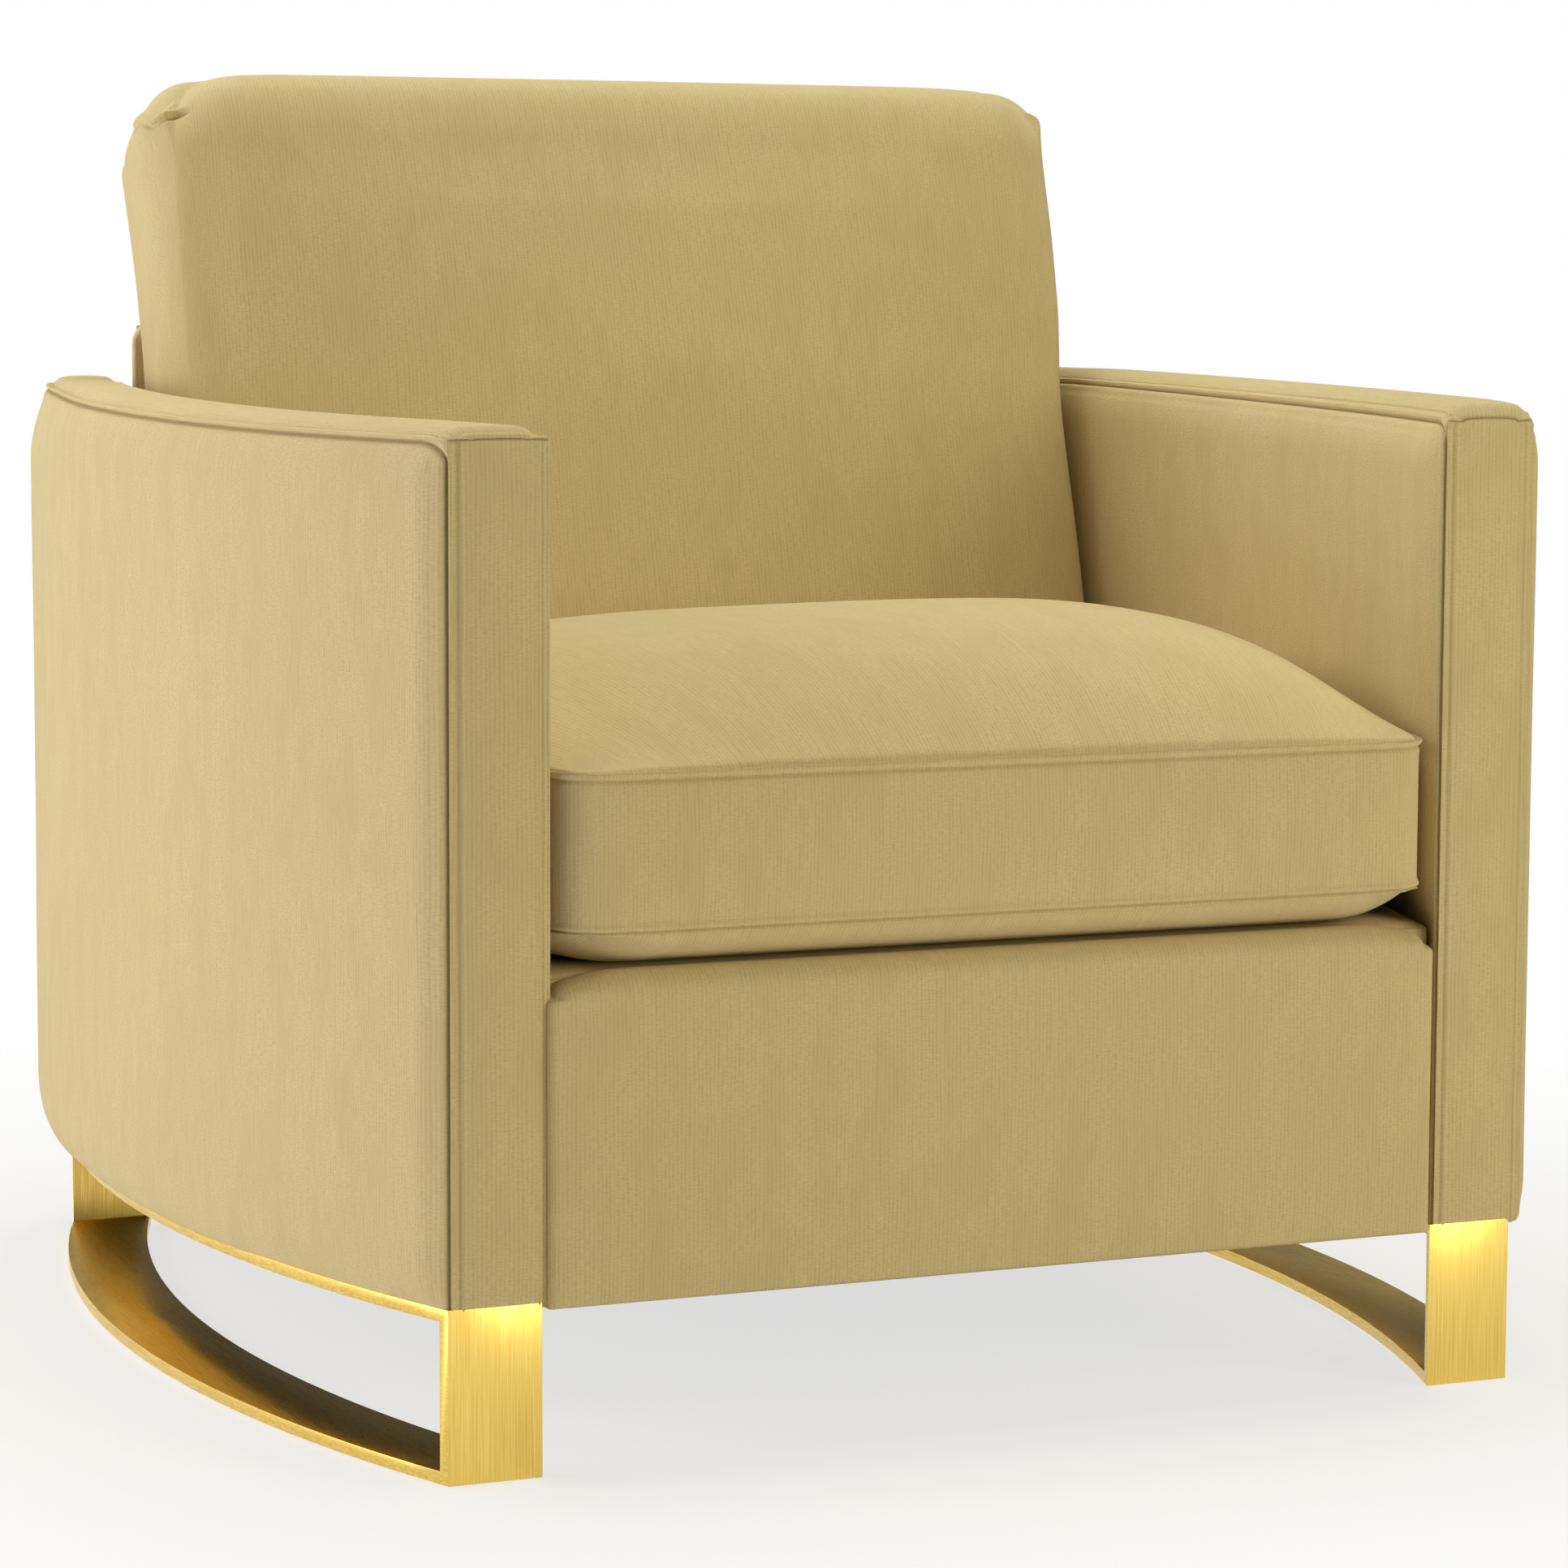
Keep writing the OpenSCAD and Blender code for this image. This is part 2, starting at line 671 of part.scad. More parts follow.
// A nailed foot and a lip rolled over the end bar; the lip opens toward +Y * dir
module spring_clip(dir)
  extrude_x(spring_reach - clip_w, spring_reach) mirror([dir > 0 ? 0 : 1, 0]) {
    translate([-front_rail_t / 2 + 2, -clip_bore - clip_t]) square([front_rail_t / 2 + 2, clip_t]);
    difference() {
      circle(r = clip_bore + clip_t, $fn = round_fn);
      circle(r = clip_bore, $fn = round_fn);
      translate([0, -10]) square([10, 10]);
      translate([-10, -10 - clip_bore]) square([10, 10]);
    }
    translate([-clip_bore - clip_t, -clip_bore - clip_t]) square([clip_t, clip_bore + clip_t]);
  }

module spring_clips()
  color(steel) spring_places() {
    translate([0, spring_y0, spring_z]) spring_clip(1);
    translate([0, spring_y1, spring_z]) spring_clip(-1);
  }

module deck(z0, z1)
  intersection() {
    between_arms(box_d, z0, z1);
    slab(front_rail_y0, back_rail_y1, z0, z1);
  }
module deck_pad() color(foam) deck(deck_pad_z0, deck_z - cover_t);
module deck_cloth() color(fabric) deck(deck_z - cover_t, deck_z);

module panel_body(e)
  extrude_x(-front_panel_half_w + e, front_panel_half_w - e) intersection() {
    rounded(panel_front_y + e, 0, front_rail_y0 + far, deck_z - e, front_panel_r - e);
    translate([panel_front_y, base_z + e]) square([front_rail_y0 - panel_front_y, deck_z - base_z]);
  }
module front_panel_pad() color(foam) panel_body(cover_t);
module front_panel_cover()
  color(fabric) difference() {
    panel_body(0);
    panel_body(cover_t);
  }

module dust_cover()
  color(black_cloth) intersection() {
    between_arms(box_d + 2, rail_bottom_z - dust_t, rail_bottom_z);
    slab(front_rail_y1, board_y0, rail_bottom_z - dust_t, rail_bottom_z);
  }

// ---- back ----

// The back's side view, e inside its skin, from height z0 up
module back_profile(e, z0)
  intersection() {
    rounded(0, 0, back_rear_y - e, back_top_z - e, back_corner_r - e);
    polygon([
      [back_line(z0) + e / cos(back_lean), z0],
      [back_line(back_top_z) + e / cos(back_lean), back_top_z],
      [far, back_top_z],
      [far, z0]
    ]);
  }

// Slopes the two side edges of the back's top
module back_shoulders(e)
  for (s = [-1, 1])
    translate([s * arm_cx, arm_cy, 0])
      cylinder(r1 = arm_r - back_d - e + back_top_z - back_shoulder, r2 = arm_r - back_d - e - back_shoulder,
        h = back_top_z, $fn = arc_fn);

module back_body(e, z0)
  intersection() {
    between_arms(back_d + e, z0, back_top_z);
    back_shoulders(e);
    extrude_x(-arm_half_w, arm_half_w) back_profile(e, z0);
  }

// The frame's space inside the padding
module back_cavity()
  intersection() {
    between_arms(back_cavity_d, deck_z - 1, back_cavity_top);
    extrude_x(-arm_half_w, arm_half_w) polygon([
      [back_line(deck_z - 1) + back_cavity_e, deck_z - 1],
      [back_line(back_cavity_top) + back_cavity_e, back_cavity_top],
      [back_rear_y, back_cavity_top],
      [back_rear_y, deck_z - 1]
    ]);
  }

function frame_line(z) = back_line(z) + back_cavity_e + (strap_t + 2 * fit_gap) / cos(back_lean);

module back_stile()
  intersection() {
    arm_bar(stile_d, stile_d + stile_t, rail_bottom_z, back_cavity_top - fit_gap, 0, board_y0);
    extrude_x(0, arm_half_w) polygon([
      [frame_line(back_foot_z), back_foot_z],
      [frame_line(back_cavity_top), back_cavity_top],
      [board_y0, back_cavity_top],
      [board_y0, rail_bottom_z],
      [back_rail_y1, rail_bottom_z],
      [back_rail_y1, back_foot_z]
    ]);
  }
module back_left_stile() color(plywood) side(-1) back_stile();
module back_right_stile() color(plywood) side(1) back_stile();

// A rail between the stiles whose front edge follows the lean
module back_rail(z0, z1, w)
  intersection() {
    between_arms(stile_d + stile_t, z0, z1);
    extrude_x(-arm_half_w, arm_half_w) polygon([
      [frame_line(z0), z0],
      [frame_line(z1), z1],
      [frame_line(z1) + w, z1],
      [frame_line(z0) + w, z0]
    ]);
  }
module back_top_rail() color(timber)
  back_rail(back_cavity_top - fit_gap - back_rail_h, back_cavity_top - fit_gap, back_rail_w);
module back_lumbar_rail() color(timber) back_rail(back_foot_z, back_foot_z + lumbar_rail_h, back_rail_h);

module back_straps() {
  strap_side = 50;
  length = (back_cavity_top - back_foot_z) / cos(back_lean) - 8;
  pitch = (2 * arm_x(back_line(back_cavity_top), stile_d + stile_t) - 2 * strap_side) / straps_n;
  y = back_line(back_foot_z) + back_cavity_e + fit_gap;
  color(webbing) for (i = [0 : straps_n - 1])
    translate([(i - (straps_n - 1) / 2) * pitch - strap_w / 2, y, back_foot_z]) rotate([-back_lean, 0, 0])
      translate([0, 0, 3]) cube([strap_w, strap_t, length]);
}

module back_padding()
  color(foam) difference() {
    back_body(cover_t, back_foot_z);
    back_cavity();
    slab(board_y0, far, 0, far);
  }

module back_inside_cover()
  color(fabric) difference() {
    back_body(0, back_foot_z);
    back_body(cover_t, back_foot_z - 1);
    slab(back_rear_y - cover_t, far, 0, far);
  }

// The back's outline between two planes, wider below the deck
module back_panel(e, y0, y1)
  intersection() {
    union() {
      back_body(e, deck_z - 1);
      between_arms(box_d + e, back_base_z, deck_z);
    }
    slab(y0, y1, 0, far);
  }

module back_board() color(plywood) back_panel(cover_t, board_y0, back_rear_y - cover_t);
module back_outside_cover() color(fabric) back_panel(0, back_rear_y - cover_t, back_rear_y);

// ---- zips: X along the zip, Y out of the cushion's face, Z across ----

// The pocket that keeps a zip below the cushion's face
module zip_recess(grow = 0)
  translate([-zip_half - 2 - grow, -zip_pocket - grow, -zip_w / 2 - 1 - grow])
    cube([zip_l + 4 + 2 * grow, zip_pocket + 10, zip_w + 2 + 2 * grow]);

module zip_tape() {
  translate([-zip_half, -zip_pocket, -zip_w / 2]) cube([zip_l, zip_t, zip_w]);
  translate([-zip_half, -zip_pocket, -2.5]) cube([zip_l, zip_t + 1.3, 5]);
}

module zip_slider()
  translate([slider_rest, -zip_pocket + zip_t + 0.3, 0]) {
    difference() {
      extrude_slider(3.2);
      translate([-slider_l, -1, -2.8]) cube([2 * slider_l, 2.4, 5.6]);
    }
    translate([-slider_l / 2 - 16, 3.6, -3]) cube([slider_l + 12, 1, 6]);
    translate([-2, 3, -2]) cube([4, 1, 4]);
  }

// The slider's body, narrower at its closed end
module extrude_slider(t)
  rotate([-90, 0, 0]) linear_extrude(t)
    polygon([
      [-slider_l / 2, -slider_h / 2 + 2],
      [slider_l / 2, -slider_h / 2],
      [slider_l / 2, slider_h / 2],
      [-slider_l / 2, slider_h / 2 - 2]
    ]);

module at_seat_zip() translate([0, seat_y1, deck_z + seat_zip_h]) children();
module at_back_zip()
  translate([0, cushion_y, cushion_z0]) rotate([-back_lean, 0, 0]) translate([0, back_cushion_t, back_zip_l]) children();

// ---- seat cushion ----

function crown_r(half) = (pow(seat_crown_z - seat_seam_z, 2) + half * half) / (2 * (seat_crown_z - seat_seam_z));

function crown_at(x, half) = seat_crown_z - crown_r(half) + sqrt(pow(crown_r(half), 2) - x * x);

// The crown from front to rear
module crown_long(e) {
  radius = crown_r((seat_y1 - seat_y0) / 2);
  translate([0, (seat_y0 + seat_y1) / 2, seat_crown_z - radius]) rotate([0, 90, 0])
    cylinder(r = radius - e, h = far, center = true, $fn = arc_fn);
}

// The crown from side to side, in flat steps
module crown_wide(e)
  translate([0, far / 2, 0]) rotate([90, 0, 0]) linear_extrude(far) polygon([
    for (t = [-crown_steps : crown_steps])
      [t / crown_steps * arm_half_w, crown_at(t / crown_steps * arm_half_w, arm_half_w) - e],
    [arm_half_w, 0],
    [-arm_half_w, 0]
  ]);

module seat_body(e)
  intersection() {
    between_arms(seat_d + e, cushion_z0 + e, far);
    slab(seat_y0 + e, seat_y1 - e, 0, far);
    crown_long(e);
    crown_wide(e);
  }

module seat_cushion_core()
  color(foam) difference() {
    seat_body(cover_t + core_gap);
    at_seat_zip() zip_recess(cover_t + core_gap);
  }
module seat_cushion_cover()
  color(fabric) difference() {
    seat_body(0);
    difference() {
      seat_body(cover_t);
      at_seat_zip() zip_recess(cover_t);
    }
    at_seat_zip() zip_recess();
  }
module seat_zip_tape() color(fabric) at_seat_zip() zip_tape();
module seat_zip_slider() color(steel) at_seat_zip() zip_slider();

// ---- back cushion ----

module back_cushion_body(e)
  intersection() {
    between_arms(back_cushion_d + e, cushion_z0 + e, far);
    translate([0, cushion_y, cushion_z0]) rotate([-back_lean, 0, 0]) extrude_x(-arm_half_w, arm_half_w)
      rounded(e, e - back_cushion_l, back_cushion_t - e, back_cushion_l - e, back_cushion_r - e);
    slab(0, far, cushion_z0 + e, far);
  }

module back_cushion_core()
  color(foam) difference() {
    back_cushion_body(cover_t + core_gap);
    at_back_zip() zip_recess(cover_t + core_gap);
  }
module back_cushion_cover()
  color(fabric) difference() {
    back_cushion_body(0);
    difference() {
      back_cushion_body(cover_t);
      at_back_zip() zip_recess(cover_t);
    }
    at_back_zip() zip_recess();
  }
module back_zip_tape() color(fabric) at_back_zip() zip_tape();
module back_zip_slider() color(steel) at_back_zip() zip_slider();

left_brass_loop();
right_brass_loop();
floor_glides();
loop_screws();
tee_nuts();
left_arm_bottom_rail();
right_arm_bottom_rail();
left_arm_top_rail();
right_arm_top_rail();
left_arm_front_post();
right_arm_front_post();
left_arm_bolt_posts();
right_arm_bolt_posts();
left_arm_rear_post();
right_arm_rear_post();
left_arm_outer_skin();
right_arm_outer_skin();
left_arm_inner_skin();
right_arm_inner_skin();
left_arm_padding();
right_arm_padding();
left_arm_outer_cover();
right_arm_outer_cover();
left_arm_inner_cover();
right_arm_inner_cover();
left_arm_top_strip();
right_arm_top_strip();
left_arm_front_facing();
right_arm_front_facing();
arm_bolts();
arm_bolt_washers();
seat_front_rail();
seat_back_rail();
seat_left_rail();
seat_right_rail();
seat_corner_blocks();
seat_springs();
spring_clips();
deck_pad();
deck_cloth();
front_panel_pad();
front_panel_cover();
dust_cover();
back_left_stile();
back_right_stile();
back_top_rail();
back_lumbar_rail();
back_straps();
back_padding();
back_inside_cover();
back_board();
back_outside_cover();
seat_cushion_core();
seat_cushion_cover();
seat_zip_tape();
seat_zip_slider();
back_cushion_core();
back_cushion_cover();
back_zip_tape();
back_zip_slider();
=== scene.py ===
import math

import bpy
import numpy as np
from mathutils import Matrix, Vector


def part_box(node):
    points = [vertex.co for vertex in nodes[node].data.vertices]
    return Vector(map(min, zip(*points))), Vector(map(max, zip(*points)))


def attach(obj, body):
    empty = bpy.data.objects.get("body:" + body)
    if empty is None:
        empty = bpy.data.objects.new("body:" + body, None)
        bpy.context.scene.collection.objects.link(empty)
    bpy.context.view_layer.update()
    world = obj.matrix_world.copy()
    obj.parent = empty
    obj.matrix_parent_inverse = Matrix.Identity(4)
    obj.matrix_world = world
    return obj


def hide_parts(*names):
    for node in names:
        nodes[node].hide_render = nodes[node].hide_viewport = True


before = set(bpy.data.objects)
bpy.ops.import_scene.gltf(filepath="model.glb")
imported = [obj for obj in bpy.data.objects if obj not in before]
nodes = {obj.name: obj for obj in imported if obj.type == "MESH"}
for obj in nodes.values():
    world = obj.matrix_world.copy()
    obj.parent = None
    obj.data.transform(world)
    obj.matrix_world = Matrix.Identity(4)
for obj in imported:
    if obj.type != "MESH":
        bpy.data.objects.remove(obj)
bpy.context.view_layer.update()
bpy.ops.object.select_all(action="DESELECT")
print("stage: frame loaded,", len(nodes), "nodes")


cameraSetup = {
    "place": (-1.31528, -3.0958, 0.72531),
    "turn": -23.664,       # about the upright, degrees
    "dip": 6.12,           # below level
    "roll": 0.224,
    "lens": 110.59, "sensor": 36, "farthest": 60,
}
lamps = [
    # name, place, aim, size, watts, colour
    ("sideSoftbox", (-3.6, 0.4, 1.2), (0.0, 0.0, 0.42), 2.0, 74, (1.0, 0.965, 0.945)),
    ("frontFill", (1.6, -3.3, 1.4), (0.0, 0.0, 0.42), 1.8, 50, (1.0, 0.93, 0.68)),
    ("overheadFill", (0.2, 0.4, 3.4), (0.0, 0.0, 0.3), 2.4, 66, (1.0, 0.99, 0.85)),
    ("rearFill", (-1.6, 2.2, 2.6), (0.0, 0.0, 0.42), 1.6, 12, (1.0, 0.98, 0.93)),
]
worldLight = {
    "colour": (0.96, 1.0, 0.76), "strength": 0.05,
    "flag": (0.40, 0.91, 0.10), "flagSpread": 34, "flagShade": 0.10,      # which way, degrees, brightness
}
floorLook = {"size": 30.0, "colour": (0.93, 0.93, 0.93), "shadow": 0.30, "shadowEdge": (0.55, 1.3)}

bpy.ops.object.camera_add(location=cameraSetup["place"])
camera = bpy.context.object
camera.name = "viewCamera"
camera.rotation_mode = "QUATERNION"
camera.rotation_quaternion = (
    Matrix.Rotation(math.radians(cameraSetup["turn"]), 4, "Z")
    @ Matrix.Rotation(math.radians(90 - cameraSetup["dip"]), 4, "X")
    @ Matrix.Rotation(math.radians(cameraSetup["roll"]), 4, "Z")
).to_quaternion()
camera.data.lens = cameraSetup["lens"]
camera.data.sensor_width = cameraSetup["sensor"]
camera.data.clip_end = cameraSetup["farthest"]
bpy.context.scene.camera = camera

for lampName, place, aim, size, watts, colour in lamps:
    bpy.ops.object.light_add(type="AREA", location=place)
    lamp = bpy.context.object
    lamp.name = lampName
    lamp.rotation_mode = "QUATERNION"
    lamp.rotation_quaternion = (Vector(aim) - Vector(place)).to_track_quat("-Z", "Y")
    lamp.data.shape = "SQUARE"
    lamp.data.size = size
    lamp.data.energy = watts
    lamp.data.color = colour


# a node with its settings, and its sockets filled by a link, a colour or a plain value
def addNode(tree, kind, sockets=None, **settings):
    made = tree.nodes.new(kind)
    for key, value in settings.items():
        setattr(made, key, value)
    for key, value in (sockets or {}).items():
        if isinstance(value, bpy.types.NodeSocket):
            tree.links.new(value, made.inputs[key])
        elif made.inputs[key].type == "RGBA":
            made.inputs[key].default_value = (*value[:3], 1)
        else:
            made.inputs[key].default_value = value
    return made


def addMath(tree, operation, *values):
    return addNode(tree, "ShaderNodeMath", dict(enumerate(values)), operation=operation).outputs[0]


def times(tree, first, second):
    return addMath(tree, "MULTIPLY", first, second)


def mapRange(tree, value, low, high, toLow=0.0, toHigh=1.0):
    sockets = {"Value": value, "From Min": low, "From Max": high, "To Min": toLow, "To Max": toHigh}
    return addNode(tree, "ShaderNodeMapRange", sockets).outputs[0]


def mixColour(tree, factor, first, second):
    return addNode(tree, "ShaderNodeMix", {0: factor, 6: first, 7: second}, data_type="RGBA").outputs[2]


def noise(tree, vector, scale, detail=2.0, rough=0.5):
    stretched = addNode(tree, "ShaderNodeVectorMath", {0: vector, 1: scale}, operation="MULTIPLY").outputs[0]
    sockets = {"Scale": 1.0, "Detail": detail, "Roughness": rough, "Vector": stretched}
    return addNode(tree, "ShaderNodeTexNoise", sockets).outputs["Fac"]


def clearTree(owner):
    owner.use_nodes = True
    owner.node_tree.nodes.clear()
    return owner.node_tree


def mixShaders(tree, output, factor, first, second):
    mix = addNode(tree, "ShaderNodeMixShader", {0: factor, 1: first.outputs[0], 2: second.outputs[0]})
    addNode(tree, output, {0: mix.outputs[0]})


# 1 for the rays that see the backdrop as it is
def whiteToEye(tree):
    path = addNode(tree, "ShaderNodeLightPath").outputs
    seen = addMath(tree, "MAXIMUM", path["Is Camera Ray"], path["Is Glossy Ray"])
    return addMath(tree, "MAXIMUM", seen, path["Is Transmission Ray"])


def studioWorld():
    w = worldLight
    world = bpy.data.worlds.new("studioWorld")
    bpy.context.scene.world = world
    tree = clearTree(world)
    ambient = addNode(tree, "ShaderNodeBackground", {"Color": w["colour"], "Strength": w["strength"]})
    # a dark flag stands low behind the chair: only polished metal sees it
    sky = addNode(tree, "ShaderNodeTexCoord").outputs["Generated"]
    flag = Vector(w["flag"]).normalized()
    toward = addNode(tree, "ShaderNodeVectorMath", {0: sky, 1: flag}, operation="DOT_PRODUCT").outputs["Value"]
    spread = math.radians(w["flagSpread"])
    flagged = mapRange(tree, toward, math.cos(spread), math.cos(spread / 2), 1.0, w["flagShade"])
    path = addNode(tree, "ShaderNodeLightPath").outputs
    direct = addMath(tree, "MAXIMUM", path["Is Camera Ray"], path["Is Transmission Ray"])
    bright = addMath(tree, "MAXIMUM", direct, flagged)
    backdrop = addNode(tree, "ShaderNodeBackground", {"Color": (1, 1, 1), "Strength": bright})
    mixShaders(tree, "ShaderNodeOutputWorld", whiteToEye(tree), ambient, backdrop)


# white to the eye, but for a soft shadow under the chair, and pale to the light
def studioFloor():
    bpy.ops.mesh.primitive_plane_add(size=floorLook["size"])
    floor = bpy.context.object
    floor.name = "studioFloor"
    material = bpy.data.materials.new("paleFloor")
    tree = clearTree(material)
    pale = addNode(tree, "ShaderNodeBsdfDiffuse", {"Color": floorLook["colour"]})
    glow = addNode(tree, "ShaderNodeEmission", {"Color": (1, 1, 1), "Strength": 1.0})
    place = addNode(tree, "ShaderNodeTexCoord").outputs["Object"]
    distance = addNode(tree, "ShaderNodeVectorMath", {0: place}, operation="LENGTH").outputs["Value"]
    faded = mapRange(tree, distance, *floorLook["shadowEdge"], 1 - floorLook["shadow"], 1.0)
    mixShaders(tree, "ShaderNodeOutputMaterial", times(tree, whiteToEye(tree), faded), pale, glow)
    floor.data.materials.append(material)


studioWorld()
studioFloor()
bpy.context.scene.view_settings.view_transform = "Standard"
print("stage: camera, lamps and floor")


# a colour as seen on a screen, 0 to 255, for a shader
def linear(*rgb):
    shares = [c / 255 for c in rgb]
    return tuple(c / 12.92 if c <= 0.04045 else ((c + 0.055) / 1.055) ** 2.4 for c in shares)


# the darkest colour below is painted shade, laid along the seams' grooves
fabricLook = {
    "crest": linear(224, 205, 158), "valley": linear(196, 175, 127), "paintedSeamShade": linear(122, 102, 58),
    "cloud": linear(206, 186, 138), "clouding": 0.18, "bump": 0.55, "depth": 0.0007,
    "ribPitch": 0.0027, "ribWander": 0.0034, "ribNarrow": 0.55, "leastGap": 0.2,
    "level": 0.60, "gapDepth": 0.46, "slubHeight": 0.32, "grainHeight": 0.22,
    "surface": {"Roughness": 0.86, "Specular IOR Level": 0.18, "Sheen Weight": 0.15, "Sheen Roughness": 0.55,
                "Sheen Tint": (1.0, 0.93, 0.74)},
}


# uneven upright ribs crossed by short slubs; the vector is metres across and along the ribs
def ribWeaveGroup():
    f = fabricLook
    tree = bpy.data.node_groups.new("ribWeave", "ShaderNodeTree")
    tree.interface.new_socket("Vector", in_out="INPUT", socket_type="NodeSocketVector")
    for name in ("Shade", "Height", "Cloud"):
        tree.interface.new_socket(name, in_out="OUTPUT", socket_type="NodeSocketFloat")
    vector = addNode(tree, "NodeGroupInput").outputs["Vector"]
    across = addNode(tree, "ShaderNodeSeparateXYZ", {0: vector}).outputs[0]
    wander = times(tree, addMath(tree, "SUBTRACT", noise(tree, vector, (70, 16, 40)), 0.5), f["ribWander"])
    turns = times(tree, addMath(tree, "ADD", across, wander), math.pi / f["ribPitch"])
    rib = addMath(tree, "ABSOLUTE", addMath(tree, "SINE", turns))
    # the narrow dark line between two ribs, which fades in and out
    gap = addMath(tree, "SUBTRACT", 1.0, addMath(tree, "POWER", rib, f["ribNarrow"]))
    broken = mapRange(tree, noise(tree, vector, (330, 42, 80), 3, 0.6), 0.36, 0.62, f["leastGap"], 1.0)
    bars = mapRange(tree, noise(tree, vector, (260, 900, 100)), 0.36, 0.64)
    patches = mapRange(tree, noise(tree, vector, (40, 14, 9)), 0.36, 0.62, 0.25, 1.0)
    grain = noise(tree, vector, (1500, 1300, 900))
    height = addMath(tree, "SUBTRACT", f["level"], times(tree, times(tree, gap, broken), f["gapDepth"]))
    height = addMath(tree, "ADD", height, times(tree, times(tree, bars, patches), f["slubHeight"]))
    height = addMath(tree, "ADD", height, times(tree, grain, f["grainHeight"]))
    cloud = mapRange(tree, noise(tree, vector, (7, 3.6, 3), 3), 0.3, 0.7)
    shade = mapRange(tree, height, 0.25, 0.90)
    addNode(tree, "NodeGroupOutput", {"Height": height, "Shade": shade, "Cloud": cloud})
    return tree


def newMaterial(name):
    material = bpy.data.materials.new(name)
    tree = clearTree(material)
    return material, tree, addNode(tree, "ShaderNodeTexCoord").outputs["Object"]


# the surface, with what fills its sockets and a bump of (height, strength, metres)
def dressed(material, bump, sockets):
    tree = material.node_tree
    height, strength, distance = bump
    raised = addNode(tree, "ShaderNodeBump", {"Strength": strength, "Distance": distance, "Height": height})
    surface = addNode(tree, "ShaderNodeBsdfPrincipled", {**sockets, "Normal": raised.outputs[0]})
    addNode(tree, "ShaderNodeOutputMaterial", {0: surface.outputs[0]})
    return material


ribWeave = ribWeaveGroup()


# on a sewn piece the weave follows the piece's own map, and shade is painted darker into its seams
def coverFabric(name, sewn):
    f = fabricLook
    material, tree, source = newMaterial(name)
    if sewn:
        source = addNode(tree, "ShaderNodeUVMap", uv_map="weave").outputs[0]
    weave = addNode(tree, "ShaderNodeGroup", {"Vector": source}, node_tree=ribWeave).outputs
    body = mixColour(tree, weave["Shade"], f["valley"], f["crest"])
    body = mixColour(tree, times(tree, weave["Cloud"], f["clouding"]), body, f["cloud"])
    if sewn:
        paintedSeamShade = addNode(tree, "ShaderNodeAttribute", attribute_name="paintedSeamShade").outputs["Fac"]
        body = mixColour(tree, paintedSeamShade, body, f["paintedSeamShade"])
    return dressed(material, (weave["Height"], f["bump"], f["depth"]), {"Base Color": body, **f["surface"]})


# straw thread, painted darker than the fabric it matches as painted shade for the stitches in their channel; the
# twist noise varies it
def threadMaterial():
    material, tree, source = newMaterial("strawThreadPaintedShade")
    twist = noise(tree, source, (2600, 2600, 2600), 1)
    body = mixColour(tree, twist, linear(150, 130, 82), linear(206, 186, 134))
    return dressed(material, (twist, 0.4, 0.0002), {"Base Color": body, "Roughness": 0.6})


# satin brass, brushed upright on the plates and lengthways on the bars
def brassMaterial():
    material, tree, source = newMaterial("brushedBrass")
    upright = noise(tree, source, (1100, 1100, 16), 3, 0.6)
    lengthways = noise(tree, source, (900, 22, 900), 3, 0.6)
    normal = addNode(tree, "ShaderNodeNewGeometry").outputs["Normal"]
    facing = addNode(tree, "ShaderNodeSeparateXYZ", {0: normal}).outputs[1]
    plate = addMath(tree, "GREATER_THAN", addMath(tree, "ABSOLUTE", facing), 0.7)
    streak = addNode(tree, "ShaderNodeMix", {0: plate, 2: lengthways, 3: upright}, data_type="FLOAT").outputs[0]
    streaks = mapRange(tree, streak, 0.3, 0.72)
    tarnish = mapRange(tree, noise(tree, source, (14, 14, 9), 3), 0.35, 0.75)
    body = mixColour(tree, streaks, linear(222, 184, 86), linear(252, 222, 124))
    body = mixColour(tree, times(tree, tarnish, 0.16), body, linear(196, 156, 72))
    rough = mapRange(tree, streaks, 0, 1, 0.36, 0.24)
    return dressed(material, (streaks, 0.12, 0.00012),
                   {"Base Color": body, "Metallic": 1.0, "Roughness": rough, "Anisotropic": 0.35})


# plain wood: long grain, and ply lines where it is a sheet
def grainMaterial(name, light, dark, scale, layers=False):
    material, tree, source = newMaterial(name)
    grain = mapRange(tree, noise(tree, source, scale, 4, 0.65), 0.32, 0.7)
    pores = noise(tree, source, tuple(v * 9 for v in scale))
    body = mixColour(tree, grain, dark, light)
    body = mixColour(tree, times(tree, pores, 0.25), body, tuple(c * 0.7 for c in dark))
    if layers:
        body = mixColour(tree, times(tree, noise(tree, source, (26, 4, 26), 3), 0.3), body, dark)
    rough = mapRange(tree, grain, 0, 1, 0.72, 0.60)
    return dressed(material, (pores, 0.2, 0.0004), {"Base Color": body, "Roughness": rough})


def foamMaterial():
    material, tree, source = newMaterial("creamFoam")
    cells = addNode(tree, "ShaderNodeTexVoronoi", {"Scale": 700, "Vector": source}).outputs["Distance"]
    fluff = times(tree, noise(tree, source, (60, 60, 60), 3), 0.3)
    body = mixColour(tree, cells, linear(214, 202, 164), linear(240, 232, 205))
    body = mixColour(tree, fluff, body, linear(226, 214, 178))
    return dressed(material, (cells, 0.5, 0.0006), {"Base Color": body, "Roughness": 0.95})


def steelMaterial(name, light, dark, roughness):
    material, tree, source = newMaterial(name)
    wear = noise(tree, source, (300, 300, 300), 3, 0.6)
    spangle = mapRange(tree, noise(tree, source, (45, 45, 45)), 0.35, 0.7)
    body = mixColour(tree, times(tree, spangle, 0.25), mixColour(tree, wear, dark, light), dark)
    rough = mapRange(tree, wear, 0.2, 0.8, roughness + 0.1, roughness - 0.05)
    return dressed(material, (wear, 0.1, 0.0002), {"Base Color": body, "Metallic": 1.0, "Roughness": rough})


